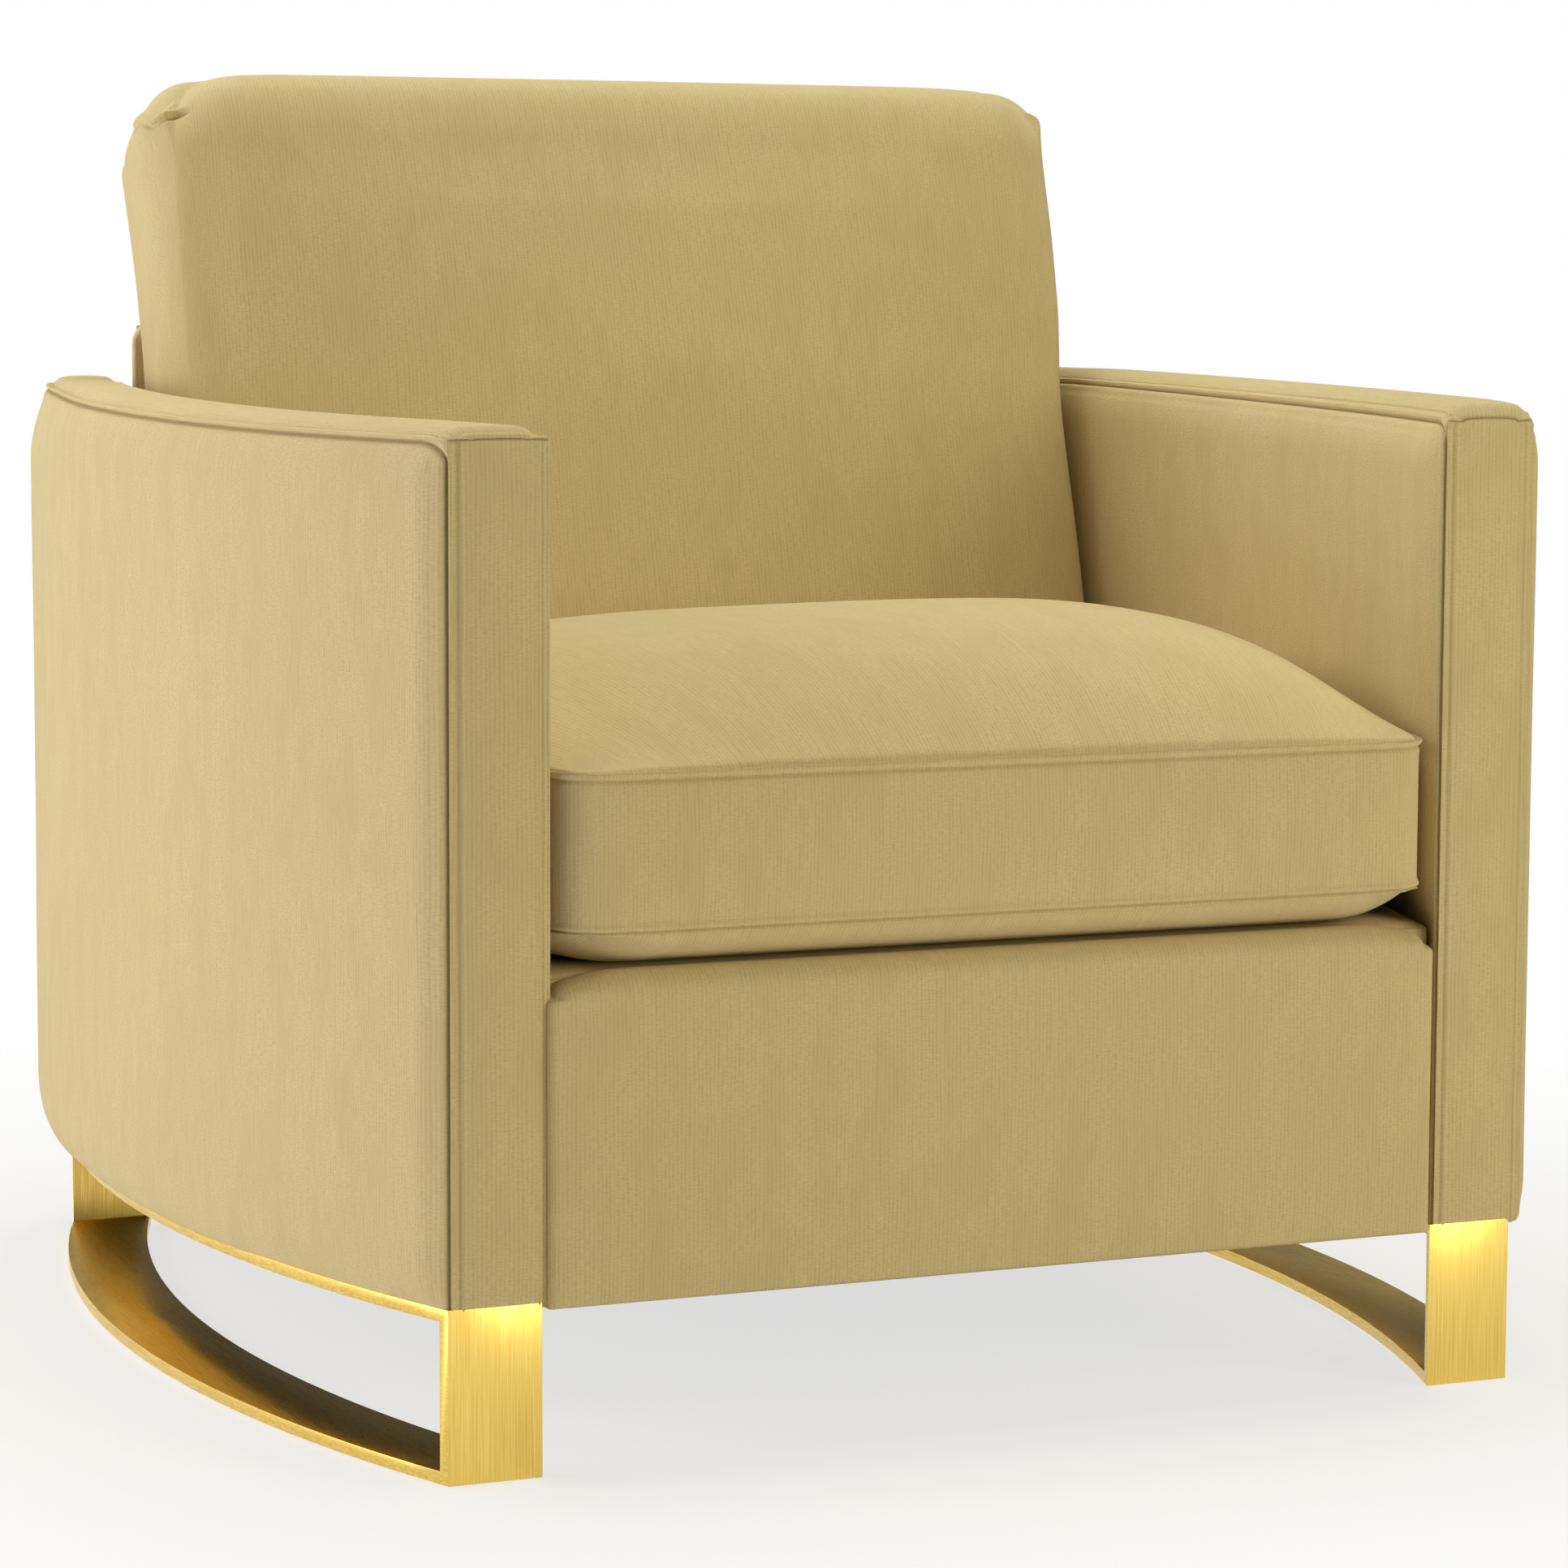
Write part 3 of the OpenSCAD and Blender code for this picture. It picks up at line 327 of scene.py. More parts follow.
# woven tape: fine warp and weft
def webMaterial(name, light, dark, pitch):
    material, tree, source = newMaterial(name)
    split = addNode(tree, "ShaderNodeSeparateXYZ", {0: source}).outputs
    warp, weft = [addMath(tree, "SINE", times(tree, split[i], 2 * math.pi / pitch)) for i in (0, 2)]
    weave = mapRange(tree, times(tree, warp, weft), -1, 1)
    fuzz = times(tree, noise(tree, source, (900, 900, 900)), 0.3)
    body = mixColour(tree, fuzz, mixColour(tree, weave, dark, light), dark)
    return dressed(material, (weave, 0.4, 0.0004), {"Base Color": body, "Roughness": 0.85})


def nylonMaterial():
    material, tree, source = newMaterial("nylonGlide")
    mottled = noise(tree, source, (120, 120, 120), 3)
    body = mixColour(tree, mottled, linear(204, 199, 188), linear(226, 222, 212))
    fine = noise(tree, source, (1800, 1800, 1800), 1)
    return dressed(material, (fine, 0.15, 0.0001),
                   {"Base Color": body, "Roughness": mapRange(tree, mottled, 0.3, 0.7, 0.5, 0.38)})


# cloth tape with a chain of teeth along its middle
def zipTapeMaterial():
    material, tree, source = newMaterial("strawZipTape")
    along = addNode(tree, "ShaderNodeSeparateXYZ", {0: source}).outputs[0]
    teeth = mapRange(tree, addMath(tree, "SINE", times(tree, along, 2 * math.pi / 0.0016)), -0.3, 0.5)
    cloth = noise(tree, source, (1400, 700, 1400))
    body = mixColour(tree, cloth, linear(176, 156, 106), linear(205, 186, 136))
    body = mixColour(tree, times(tree, teeth, 0.45), body, linear(226, 210, 168))
    return dressed(material, (teeth, 0.5, 0.0006), {"Base Color": body, "Roughness": 0.6})


strawFabric = coverFabric("strawRibFabric", True)
strawFabricFlat = coverFabric("strawRibFabricFlat", False)
strawThreadPaintedShade = threadMaterial()
finishes = {
    "brass": brassMaterial(),
    "timberY": grainMaterial("pineRailLong", linear(222, 190, 140), linear(190, 150, 98), (90, 3, 90)),
    "timberX": grainMaterial("pineRailAcross", linear(224, 192, 142), linear(192, 152, 100), (3, 90, 90)),
    "timberZ": grainMaterial("pinePost", linear(220, 186, 136), linear(186, 146, 94), (90, 90, 3)),
    "plywood": grainMaterial("birchPly", linear(218, 190, 146), linear(190, 156, 108), (90, 90, 3), layers=True),
    "foam": foamMaterial(),
    "zinc": steelMaterial("zincSteel", (0.62, 0.63, 0.66), (0.42, 0.43, 0.46), 0.34),
    "zip": steelMaterial("zipMetal", (0.66, 0.62, 0.54), (0.44, 0.41, 0.35), 0.30),
    "zipTape": zipTapeMaterial(),
    "nylon": nylonMaterial(),
    "blackCloth": webMaterial("blackDustCloth", linear(44, 44, 47), linear(24, 24, 26), 0.0022),
    "webbing": webMaterial("elasticWebbing", linear(72, 72, 76), linear(38, 38, 41), 0.0030),
}

# the first row that has a word of the node's name gives its finish; the rest is cloth
finishWords = [
    ("brass", ["brass_loop"]),
    ("zinc", ["loop_screws", "tee_nuts", "arm_bolts", "arm_bolt_washers", "seat_springs", "spring_clips"]),
    ("zip", ["slider"]),
    ("zipTape", ["zip_tape"]),
    ("nylon", ["floor_glides"]),
    ("blackCloth", ["dust_cover"]),
    ("webbing", ["back_straps"]),
    ("foam", ["padding", "_pad", "core"]),
    ("plywood", ["skin", "stile", "back_board"]),
    ("timberZ", ["post", "blocks"]),
    ("timberX", ["seat_front_rail", "seat_back_rail", "back_top_rail", "back_lumbar_rail"]),
    ("timberY", ["rail"]),
]
for nodeName, nodeObject in nodes.items():
    fitting = [finishes[finish] for finish, words in finishWords if any(word in nodeName for word in words)]
    nodeObject.data.materials.clear()
    nodeObject.data.materials.append((fitting + [strawFabricFlat])[0])
print("stage: materials")


def activate(piece):
    bpy.ops.object.select_all(action="DESELECT")
    piece.select_set(True)
    bpy.context.view_layer.objects.active = piece


def readPoints(piece):
    flat = np.empty(len(piece.data.vertices) * 3)
    piece.data.vertices.foreach_get("co", flat)
    return flat.reshape(-1, 3)


def writePoints(piece, points):
    piece.data.vertices.foreach_set("co", np.ascontiguousarray(points, np.float32).ravel())
    piece.data.update()


def readNormals(piece):
    flat = np.empty(len(piece.data.vertices) * 3, np.float32)
    piece.data.vertex_normals.foreach_get("vector", flat)
    return flat.reshape(-1, 3).astype(float)


def pushOut(piece, push):
    writePoints(piece, readPoints(piece) + readNormals(piece) * push[:, None])


def applyAll(piece):
    activate(piece)
    for modifier in list(piece.modifiers):
        bpy.ops.object.modifier_apply(modifier=modifier.name)


# places of grid lines from stretches of (start, end, how many cells)
def lines(*stretches):
    places = [stretches[0][0]]
    for start, end, count in stretches:
        places += list(np.linspace(start, end, count + 1)[1:])
    return np.array(places)


# a subdivision makes at most 100 cells, so more are made in two steps
def factors(count, most=100):
    if count <= most:
        return [count]
    for divider in range(2, most + 1):
        if count % divider == 0 and count // divider <= most:
            return [divider, count // divider]
    raise ValueError(f"{count} cells can't be cut evenly")


# a cube cut into cells along each axis, with its lines moved to the places given
def gridBlock(name, *gridLines):
    bpy.ops.object.select_all(action="DESELECT")
    bpy.ops.mesh.primitive_cube_add(size=2)
    piece = bpy.context.object
    piece.name = piece.data.name = name
    for axis in range(3):
        for count in factors(len(gridLines[axis]) - 1):
            mesh = piece.data
            points = readPoints(piece)
            ends = np.empty(len(mesh.edges) * 2, np.int32)
            mesh.edges.foreach_get("vertices", ends)
            ends = ends.reshape(-1, 2)
            runs = np.abs(points[ends[:, 0]] - points[ends[:, 1]])
            bpy.ops.object.mode_set(mode="EDIT")
            bpy.ops.mesh.select_mode(type="EDGE")
            bpy.ops.mesh.select_all(action="DESELECT")
            bpy.ops.object.mode_set(mode="OBJECT")
            mesh.edges.foreach_set("select", runs.argmax(axis=1) == axis)
            bpy.ops.object.mode_set(mode="EDIT")
            if count > 1:
                bpy.ops.mesh.subdivide(number_cuts=count - 1)
            bpy.ops.object.mode_set(mode="OBJECT")
    points = readPoints(piece)
    for axis in range(3):
        cells = len(gridLines[axis]) - 1
        index = np.rint((points[:, axis] + 1) / 2 * cells).astype(int)
        points[:, axis] = gridLines[axis][index]
    writePoints(piece, points)
    return piece, points


# turns a square edge into a rolled one; only what lies within the radius of the corner moves
def roundEdge(points, axes, corner, signs, radius):
    a, b = axes
    qa = np.clip((radius - signs[0] * (corner[0] - points[:, a])) / radius, 0, None)
    qb = np.clip((radius - signs[1] * (corner[1] - points[:, b])) / radius, 0, None)
    length = np.hypot(qa, qb)
    share = np.where(length > 1e-9, np.maximum(qa, qb) / np.maximum(length, 1e-9), 1.0)
    inside = (qa > 0) & (qb > 0)
    moved = points.copy()
    moved[inside, a] = (corner[0] - signs[0] * radius * (1 - qa * share))[inside]
    moved[inside, b] = (corner[1] - signs[1] * radius * (1 - qb * share))[inside]
    return moved


# 1 at a seam, 0 from reach on
def near(distance, reach):
    return np.clip(1 - distance / reach, 0, 1)


# 0 at a seam, 1 from reach on, steepest at the seam
def rise(distance, reach, power=2.0):
    return 1 - np.power(near(distance, reach), power)


# 0 up to start, 1 from start + reach on, gentle at both ends
def ease(value, start=0.0, reach=1.0):
    t = np.clip((value - start) / reach, 0, 1)
    return t * t * (3 - 2 * t)


def groove(distance, width):
    return np.exp(-np.square(distance / width))


# ridges and grooves beside a line, in rows of (how far from it, half width, height)
def welts(distance, rows):
    return sum(height * groove(distance - at, width) for at, width, height in rows)


# one slow wander per pitch, the same each run
def smoothNoise(values, seed, pitch):
    knots = np.random.default_rng(seed).uniform(-1, 1, 4096)
    place = np.asarray(values) / pitch + 500
    base = np.floor(place).astype(int)
    t = ease(place - base)
    return knots[base % 4096] * (1 - t) + knots[(base + 1) % 4096] * t


# small gathers beside a seam
def pucker(along, distance, reach, seed):
    wander = smoothNoise(along, seed, 0.013) * 0.6 + smoothNoise(along, seed + 1, 0.031) * 0.7
    return wander * np.exp(-np.abs(distance) / reach)


def turnOutward(piece):
    activate(piece)
    bpy.ops.object.mode_set(mode="EDIT")
    bpy.ops.mesh.select_all(action="SELECT")
    bpy.ops.mesh.normals_make_consistent(inside=False)
    bpy.ops.object.mode_set(mode="OBJECT")


# one subdivision; gives the new points' places in the uncurved block
def refineOnce(piece, box):
    for letter, values in zip("xyz", box.T):
        layer = piece.data.attributes.new("block" + letter, "FLOAT", "POINT")
        layer.data.foreach_set("value", values.astype(np.float32))
    refine = piece.modifiers.new("fine", "SUBSURF")
    refine.levels = refine.render_levels = 1
    applyAll(piece)
    places = []
    for letter in "xyz":
        layer = piece.data.attributes["block" + letter]
        values = np.empty(len(piece.data.vertices), np.float32)
        layer.data.foreach_get("value", values)
        places.append(values.astype(float))
    for letter in "xyz":
        piece.data.attributes.remove(piece.data.attributes["block" + letter])
    return places


# for each four-cornered face, the axis it faces and its corners' places in the uncurved block
def sideOf(piece, box):
    corner = np.empty(len(piece.data.loops), np.int32)
    piece.data.loops.foreach_get("vertex_index", corner)
    quads = box[corner].reshape(-1, 4, 3)
    return (quads.max(axis=1) - quads.min(axis=1)).argmin(axis=1)[:, None], quads


def giveWeave(piece, across, along):
    layer = piece.data.uv_layers.new(name="weave")
    layer.uv.foreach_set("vector", np.stack([across, along], axis=-1).astype(np.float32).ravel())


# the weave runs up a block's faces and front to back over its top; scale is metres per unit
def layWeave(piece, box, scale, start):
    axis, quads = sideOf(piece, box)
    x, y, z = [quads[..., i] * scale[i] for i in range(3)]
    giveWeave(piece, np.where(axis == 0, y, x) + start, np.where(axis == 2, y, z))


# how much shade is painted on each point for lying down in a seam, 0 to 1, in the cloth's colour
def paintSeamShade(piece, depth):
    layer = piece.data.attributes.new("paintedSeamShade", "FLOAT", "POINT")
    layer.data.foreach_set("value", np.clip(depth, 0, 1).astype(np.float32))


def finishPiece(piece, material, body, replaced=()):
    piece.data.materials.clear()
    piece.data.materials.append(material)
    if replaced:
        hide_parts(*replaced)
    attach(piece, body)
    bpy.ops.object.select_all(action="DESELECT")


def finishSewn(piece, body, replaced):
    activate(piece)
    bpy.ops.object.shade_smooth()
    turnOutward(piece)
    finishPiece(piece, strawFabric, body, replaced)


stitchLook = {"length": 0.0036, "thickness": 0.00055, "pitch": 0.0050, "sunk": 0.0001}


# one stitch: a short thread that dives at both ends
def modelStitch():
    bpy.ops.object.select_all(action="DESELECT")
    bpy.ops.mesh.primitive_cylinder_add(vertices=5, radius=stitchLook["thickness"] / 2,
                                        depth=stitchLook["length"], end_fill_type="TRIFAN",
                                        rotation=(0, math.pi / 2, 0))
    stitch = bpy.context.object
    stitch.name = "stitchPattern"
    bpy.ops.object.transform_apply(location=False, rotation=True, scale=False)
    points = readPoints(stitch)
    bent = np.abs(points[:, 0]) > stitchLook["length"] * 0.4
    points[bent, 2] -= stitchLook["thickness"] * 0.8
    writePoints(stitch, points)
    bpy.ops.object.shade_smooth()
    return stitch


stitchPattern = modelStitch()


# copies of a small pattern set along a path of points that lie on the cloth, joined into one run
def setAlong(name, pattern, pitch, path, normals):
    path, normals = np.asarray(path, float), np.asarray(normals, float)
    travelled = np.concatenate([[0], np.cumsum(np.linalg.norm(np.diff(path, axis=0), axis=1))])

    def follow(place, values):
        return Vector([float(np.interp(place, travelled, values[:, i])) for i in range(3)])

    bpy.ops.object.select_all(action="DESELECT")
    run = None
    for centre in (np.arange(int(travelled[-1] / pitch)) + 0.5) * pitch:
        along = (follow(centre + 0.001, path) - follow(centre - 0.001, path)).normalized()
        up = follow(centre, normals)
        up = (up - along * up.dot(along)).normalized()
        place = follow(centre, path) - up * stitchLook["sunk"]
        turn = Matrix((along, up.cross(along), up)).transposed().to_4x4()
        copy = pattern.copy()
        copy.data = pattern.data.copy()
        copy.data.transform(Matrix.Translation(place) @ turn)
        bpy.context.scene.collection.objects.link(copy)
        copy.select_set(True)
        run = run or copy
    bpy.context.view_layer.objects.active = run
    bpy.ops.object.join()
    run.name = run.data.name = name
    return run


# drops a path of points on the nearest cloth and sews along it
def sewOn(piece, name, path, body):
    found = [piece.closest_point_on_mesh(Vector(point)) for point in path]
    places, normals = [hit[1] for hit in found], [hit[2] for hit in found]
    run = setAlong(name, stitchPattern, stitchLook["pitch"], places, normals)
    finishPiece(run, strawThreadPaintedShade, body)


armShape = {
    "halfWidth": 0.372, "depth": 0.896, "bow": 0.072, "centreY": 0.008, "thickness": 0.062,
    "bottom": 0.104, "top": 0.640, "seam": 0.6238, "crossSeam": 0.6245, "frontY": -0.440, "rearY": 0.456,
    "topRoll": 0.0162, "frontRoll": 0.013, "frontEdge": 0.004, "rearEdge": 0.013, "footRoll": 0.005,
    "outerPuff": 0.0078, "rearPuff": 0.0036, "innerPuff": 0.0085, "facingPuff": 0.0012, "innerFoot": 0.306,
    "crown": 0.0018, "crossBow": 0.0016, "loft": 0.0007,
    "climbLong": 0.64, "climbPower": 1.7, "seamLift": 0.0120, "liftFrom": 0.42, "dropFrom": 0.36,
    "cornerLong": 0.026, "cornerDown": 0.013,      # the side panel's rounded top front corner
    # rows of (distance from the line, half width, height), and of the same for how much shade is painted into
    # the line
    "sideSeam": [(0.0012, 0.0012, -0.0021), (0.0052, 0.0028, 0.0008)],
    "stripLip": [(-0.0030, 0.0019, 0.0009), (-0.0090, 0.0010, -0.0008)],
    "facingEdge": [(0.0012, 0.0011, 0.0007), (0.0036, 0.0012, -0.0007),
                   (0.0062, 0.0009, -0.0008), (0.0078, 0.0010, 0.0006)],
    "cross": [(0.0, 0.0010, -0.0013), (-0.0028, 0.0016, 0.0005)],
    "rearSeam": [(0.006, 0.0011, -0.0013)],
    "darkSide": [(0.0012, 0.0009, 0.75)], "darkStitch": [(-0.0090, 0.0008, 0.35)],
    "darkFacing": [(0.0062, 0.0008, 0.30), (0.0, 0.0008, 0.45)], "darkCross": [(0.0, 0.0009, 0.65)],
    "facingStitch": 0.0062, "stitchUp": 0.0090,
}
armSides = {
    "left": {"sign": -1, "seed": 11, "frontShift": 0.0050, "innerFront": 0.0038, "innerRoll": 0.022,
             "wider": 0.0, "seamUp": 0.0, "topLift": 0.0022, "frontDrop": 0.0080, "rearDrop": 0.002,
             "rearLean": 0.0085},
    "right": {"sign": 1, "seed": 29, "frontShift": -0.0025, "innerFront": 0.0105, "innerRoll": 0.055,
              "wider": 0.0012, "seamUp": 0.0055, "topLift": 0.0072, "frontDrop": 0.0, "rearDrop": 0.006,
              "rearLean": 0.0},
}
armRadius = (armShape["bow"] ** 2 + armShape["depth"] ** 2 / 4) / (2 * armShape["bow"])
armCentreX = armShape["halfWidth"] + armShape["bow"] - armRadius


# half the width between the arms' faces, d inside their outer seam
def innerX(y, d):
    return armCentreX + np.sqrt(np.square(armRadius - d) - np.square(np.asarray(y) - armShape["centreY"]))


# the arm's top climbs gently toward the rear
def armLift(hand, y, z):
    a = armShape
    climb = np.power(np.clip((y - a["frontY"]) / a["climbLong"], 0, 1), a["climbPower"])
    overSeam = np.clip((z - a["seam"]) / (a["top"] - a["seam"]), 0, 1)
    last = np.clip((y - a["dropFrom"]) / (a["rearY"] - a["dropFrom"]), 0, 1)
    lift = climb * (a["seamLift"] + (hand["topLift"] - a["seamLift"]) * overSeam)
    lift = lift - hand["frontDrop"] * (1 - climb) * overSeam - hand["rearDrop"] * np.square(last) * overSeam
    return lift * ease(z, a["liftFrom"], a["seam"] - a["liftFrom"])


# toward the rear the outer face leans in under its top seam
def leanIn(hand, depth, y, z):
    outer = 1 - depth / armShape["thickness"]
    return hand["rearLean"] * outer * ease(y, 0.05, 0.28) * ease(z, 0.575, 0.05)


# how far inside the side panel's front and top seams a point lies, round their curved corner
def panelEdge(fromFront, below):
    long, down = armShape["cornerLong"], armShape["cornerDown"]
    a = np.clip(1 - fromFront / long, 1e-6, None)
    b = np.clip(1 - below / down, 1e-6, None)
    q = np.hypot(a, b)
    curved = (1 - q) * q / np.hypot(a / long, b / down)
    return np.where((fromFront < long) & (below < down), curved, np.minimum(fromFront, below))


# the block's (depth into the arm, y, z) turned into the stuffed arm
def shapeArm(box, hand):
    a = armShape
    t = a["thickness"]
    p = box.copy()
    for edge, sign in ((0.0, -1), (t, 1)):
        p = roundEdge(p, (0, 1), (edge, a["frontY"]), (sign, -1), a["frontEdge"])
        p = roundEdge(p, (0, 1), (edge, a["rearY"]), (sign, 1), a["rearEdge"])
    for y, sign in ((a["frontY"], -1), (a["rearY"], 1)):
        p = roundEdge(p, (1, 2), (y, a["top"]), (sign, 1), a["frontRoll"])
    for edge, sign in ((0.0, -1), (t, 1)):
        p = roundEdge(p, (0, 2), (edge, a["top"]), (sign, 1), a["topRoll"])
        p = roundEdge(p, (0, 2), (edge, a["bottom"]), (sign, -1), a["footRoll"])
    for y, sign in ((a["frontY"], -1), (a["rearY"], 1)):
        p = roundEdge(p, (1, 2), (y, a["bottom"]), (sign, -1), a["footRoll"])
    n, y, z = box.T
    fromFront, fromRear, below = y - a["frontY"], a["rearY"] - y, a["seam"] + hand["seamUp"] - z
    # both side panels swell between their seams
    inside = np.clip(panelEdge(fromFront, below), 0, None)
    swell = rise(inside, 0.012, 1.6) * rise(fromRear, 0.030) * rise(below, 0.030)
    outerPuff = a["outerPuff"] + (a["rearPuff"] - a["outerPuff"]) * ease(y, 0.04, 0.33)
    outerPuff = outerPuff * swell * rise(fromFront, 0.022) * rise(z - a["bottom"], 0.028)
    innerPuff = hand["innerFront"] + (a["innerPuff"] - hand["innerFront"]) * ease(y, -0.42, 0.12)
    innerPuff = innerPuff * swell * rise(fromFront, hand["innerRoll"]) * rise(z - a["innerFoot"], 0.05)
    p[:, 0] += innerPuff * near(t - n, 0.02) - outerPuff * near(n, 0.02)
    p[:, 0] += (hand["frontShift"] - hand["wider"] * (1 - n / t)) * (1 - ease(fromFront, 0, 0.32))
    p[:, 0] += leanIn(hand, n, y, z)
    middle = 1 - np.square(np.clip(2 * n / t - 1, -1, 1))
    overSeam = np.clip((z - a["seam"]) / a["topRoll"], 0, 1)
    p[:, 2] += armLift(hand, y, z) + a["crown"] * middle * overSeam * rise(fromFront, 0.08)
    facing = middle * near(fromFront, 0.002) * rise(a["crossSeam"] - z, 0.05) * rise(z - a["bottom"], 0.03)
    p[:, 1] -= a["facingPuff"] * facing
    return p


# (depth, y, z) bent round the arm's curve
def toRoom(p, sign):
    return np.stack([sign * innerX(p[:, 1], p[:, 0]), p[:, 1], p[:, 2]], axis=1)


def sewnArm(word):
    a, hand = armShape, armSides[word]
    t, front, rear, seed = a["thickness"], a["frontY"], a["rearY"], hand["seed"]
    piece, box = gridBlock(
        f"{word}ArmUpholstery",
        lines((0, 0.014, 14), (0.014, t - 0.014, 8), (t - 0.014, t, 14)),
        lines((front, front + 0.030, 30), (front + 0.030, rear - 0.02, 136), (rear - 0.02, rear, 14)),
        lines((a["bottom"], 0.124, 8), (0.124, 0.604, 76), (0.604, a["top"], 36)),
    )
    writePoints(piece, toRoom(shapeArm(box, hand), hand["sign"]))
    turnOutward(piece)
    n, y, z = box.T
    onSide = (n < 1e-6) | (n > t - 1e-6)
    onFront, onRear = y < front + 1e-6, y > rear - 1e-6
    fromEdge, fromFront = np.minimum(n, t - n), y - front
    seam = a["seam"] + hand["seamUp"]
    crossing = a["crossSeam"] + hand["seamUp"] + a["crossBow"] * (1 - np.square(2 * n / t - 1))
    # the side panels' seams: a sunk line, a lip on the strip's side, and topstitching over it
    e = panelEdge(fromFront, seam - z)
    calm = rise(fromFront, 0.012)
    towardRear = 0.25 + 0.75 * np.clip((y + 0.1) / 0.4, 0, 1)
    gathers = 0.00032 * towardRear * pucker(y, e, 0.010, seed)
    push = onSide * (welts(e, a["sideSeam"]) + calm * (welts(e, a["stripLip"]) + gathers))
    # the facing: a lip along each upright edge, topstitching beside it, and the cross seam over it
    below, c = np.clip((crossing - z) / 0.003, 0, 1), z - crossing
    gathers = 0.00025 * pucker(z + n, fromEdge, 0.006, seed + 4)
    push += onFront * below * (welts(fromEdge, a["facingEdge"]) + gathers)
    push += onFront * welts(c, a["cross"]) * rise(fromEdge, 0.004, 1)
    # a seam up each rear corner, and slow unevenness of the stuffing
    push += onRear * (z < seam) * welts(fromEdge, a["rearSeam"])
    uneven = smoothNoise(y, seed + 7, 0.09) * smoothNoise(z, seed + 8, 0.11)
    push += onSide * a["loft"] * uneven * rise(np.abs(e), 0.03)
    pushOut(piece, push)
    # painted shade along the seams and in the topstitch channel, darkening the cloth's colour
    dark = onSide * (welts(e, a["darkSide"]) + calm * welts(e, a["darkStitch"]))
    paintSeamShade(piece, dark + onFront * (below * welts(fromEdge, a["darkFacing"]) + welts(c, a["darkCross"])))
    # the weave runs up the sides and the facing, and along the strip
    axis, quads = sideOf(piece, box)
    arc = armRadius * np.arcsin((quads[..., 1] - a["centreY"]) / armRadius)
    strip = (quads[..., 2].mean(axis=1) > seam)[:, None]
    across = np.where(axis == 0, np.where(strip, quads[..., 2], arc), quads[..., 0] + 0.3)
    along = np.where(axis == 0, np.where(strip, arc, quads[..., 2]), np.where(axis == 1, quads[..., 2], arc))
    giveWeave(piece, across, along)
    covers = ("padding", "outer_cover", "inner_cover", "top_strip", "front_facing")
    finishSewn(piece, "chair_frame", [f"{word}_arm_{cover}" for cover in covers])
    # topstitching, laid in its shallow channels
    stripZ, runs = seam + a["stitchUp"], []
    ys = np.linspace(front + 0.030, rear - 0.016, 240)
    zs = np.linspace(a["bottom"] + 0.006, a["crossSeam"] + hand["seamUp"] - 0.006, 150)
    for depth in (0.0, t):
        depths, heights = depth + leanIn(hand, depth, ys, stripZ), stripZ + armLift(hand, ys, stripZ)
        run = np.stack([depths, ys, heights], axis=1)
        runs.append(toRoom(run, hand["sign"]))
    for depth in (a["facingStitch"], t - a["facingStitch"]):
        shifted = depth + hand["frontShift"] - hand["wider"] * (1 - depth / t)
        run = np.stack([np.full(len(zs), shifted), np.full(len(zs), front), zs], axis=1)
        runs.append(toRoom(run, hand["sign"]) - [0, 0.001, 0])
    for index, path in enumerate(runs):
        sewOn(piece, f"{word}ArmTopstitch{index}", path, "chair_frame")


for word in armSides:
    sewnArm(word)
print("stage: arms")


panelShape = {"half": 0.305, "front": -0.447, "rear": -0.427, "bottom": 0.104, "top": 0.306,
              "roll": 0.014, "sideRoll": 0.006, "topSideRoll": 0.012, "footRoll": 0.004,
              "droop": 0.010, "droopWide": 0.055, "puff": 0.0022, "uneven": 0.0006}


def sewnPanel():
    s = panelShape
    half, low, high = s["half"], s["bottom"], s["top"]
    piece, box = gridBlock(
        "frontPanel",
        lines((-half, -half + 0.02, 10), (-half + 0.02, half - 0.02, 90), (half - 0.02, half, 10)),
        lines((s["front"], s["rear"], 12)),
        lines((low, low + 0.012, 8), (low + 0.012, high - 0.03, 28), (high - 0.03, high, 18)),
    )
    x, y, z = box.T
    p = roundEdge(box, (1, 2), (s["front"], high), (-1, 1), s["roll"])
    for sign in (-1, 1):
        p = roundEdge(p, (0, 1), (sign * half, s["front"]), (sign, -1), s["sideRoll"])
        p = roundEdge(p, (0, 2), (sign * half, high), (sign, 1), s["topSideRoll"])
    p = roundEdge(p, (1, 2), (s["front"], low), (-1, -1), s["footRoll"])
    fromSide = half - np.abs(x)
    up = np.clip((z - low) / (high - low), 0, 1)
    p[:, 2] -= s["droop"] * np.power(near(fromSide, s["droopWide"]), 2.2) * np.power(up, 6)
    puff = s["puff"] * rise(fromSide, 0.06) * rise(z - low, 0.05) * rise(high - z, 0.06)
    uneven = s["uneven"] * smoothNoise(x, 41, 0.05) * smoothNoise(z, 43, 0.06)
    p[:, 1] += (uneven - puff) * np.clip((s["rear"] - y) / (s["rear"] - s["front"]), 0, 1)
    writePoints(piece, p)
    layWeave(piece, box, (1, 1, 1), 0.7)
    finishSewn(piece, "chair_frame", ["front_panel_pad", "front_panel_cover"])


sewnPanel()
print("stage: front panel")


# spreads each point's move over its neighbours
def evenOut(piece, moves, passes):
    ends = np.empty(len(piece.data.edges) * 2, dtype=np.int32)
    piece.data.edges.foreach_get("vertices", ends)
    first, second = ends.reshape(-1, 2).T
    total = len(moves)
    meets = np.bincount(ends, minlength=total)[:, None]
    for _ in range(passes):
        shared = [np.bincount(first, move[second], total) + np.bincount(second, move[first], total)
                  for move in moves.T]
        moves = 0.4 * moves + 0.6 * np.stack(shared, axis=1) / meets
    return moves


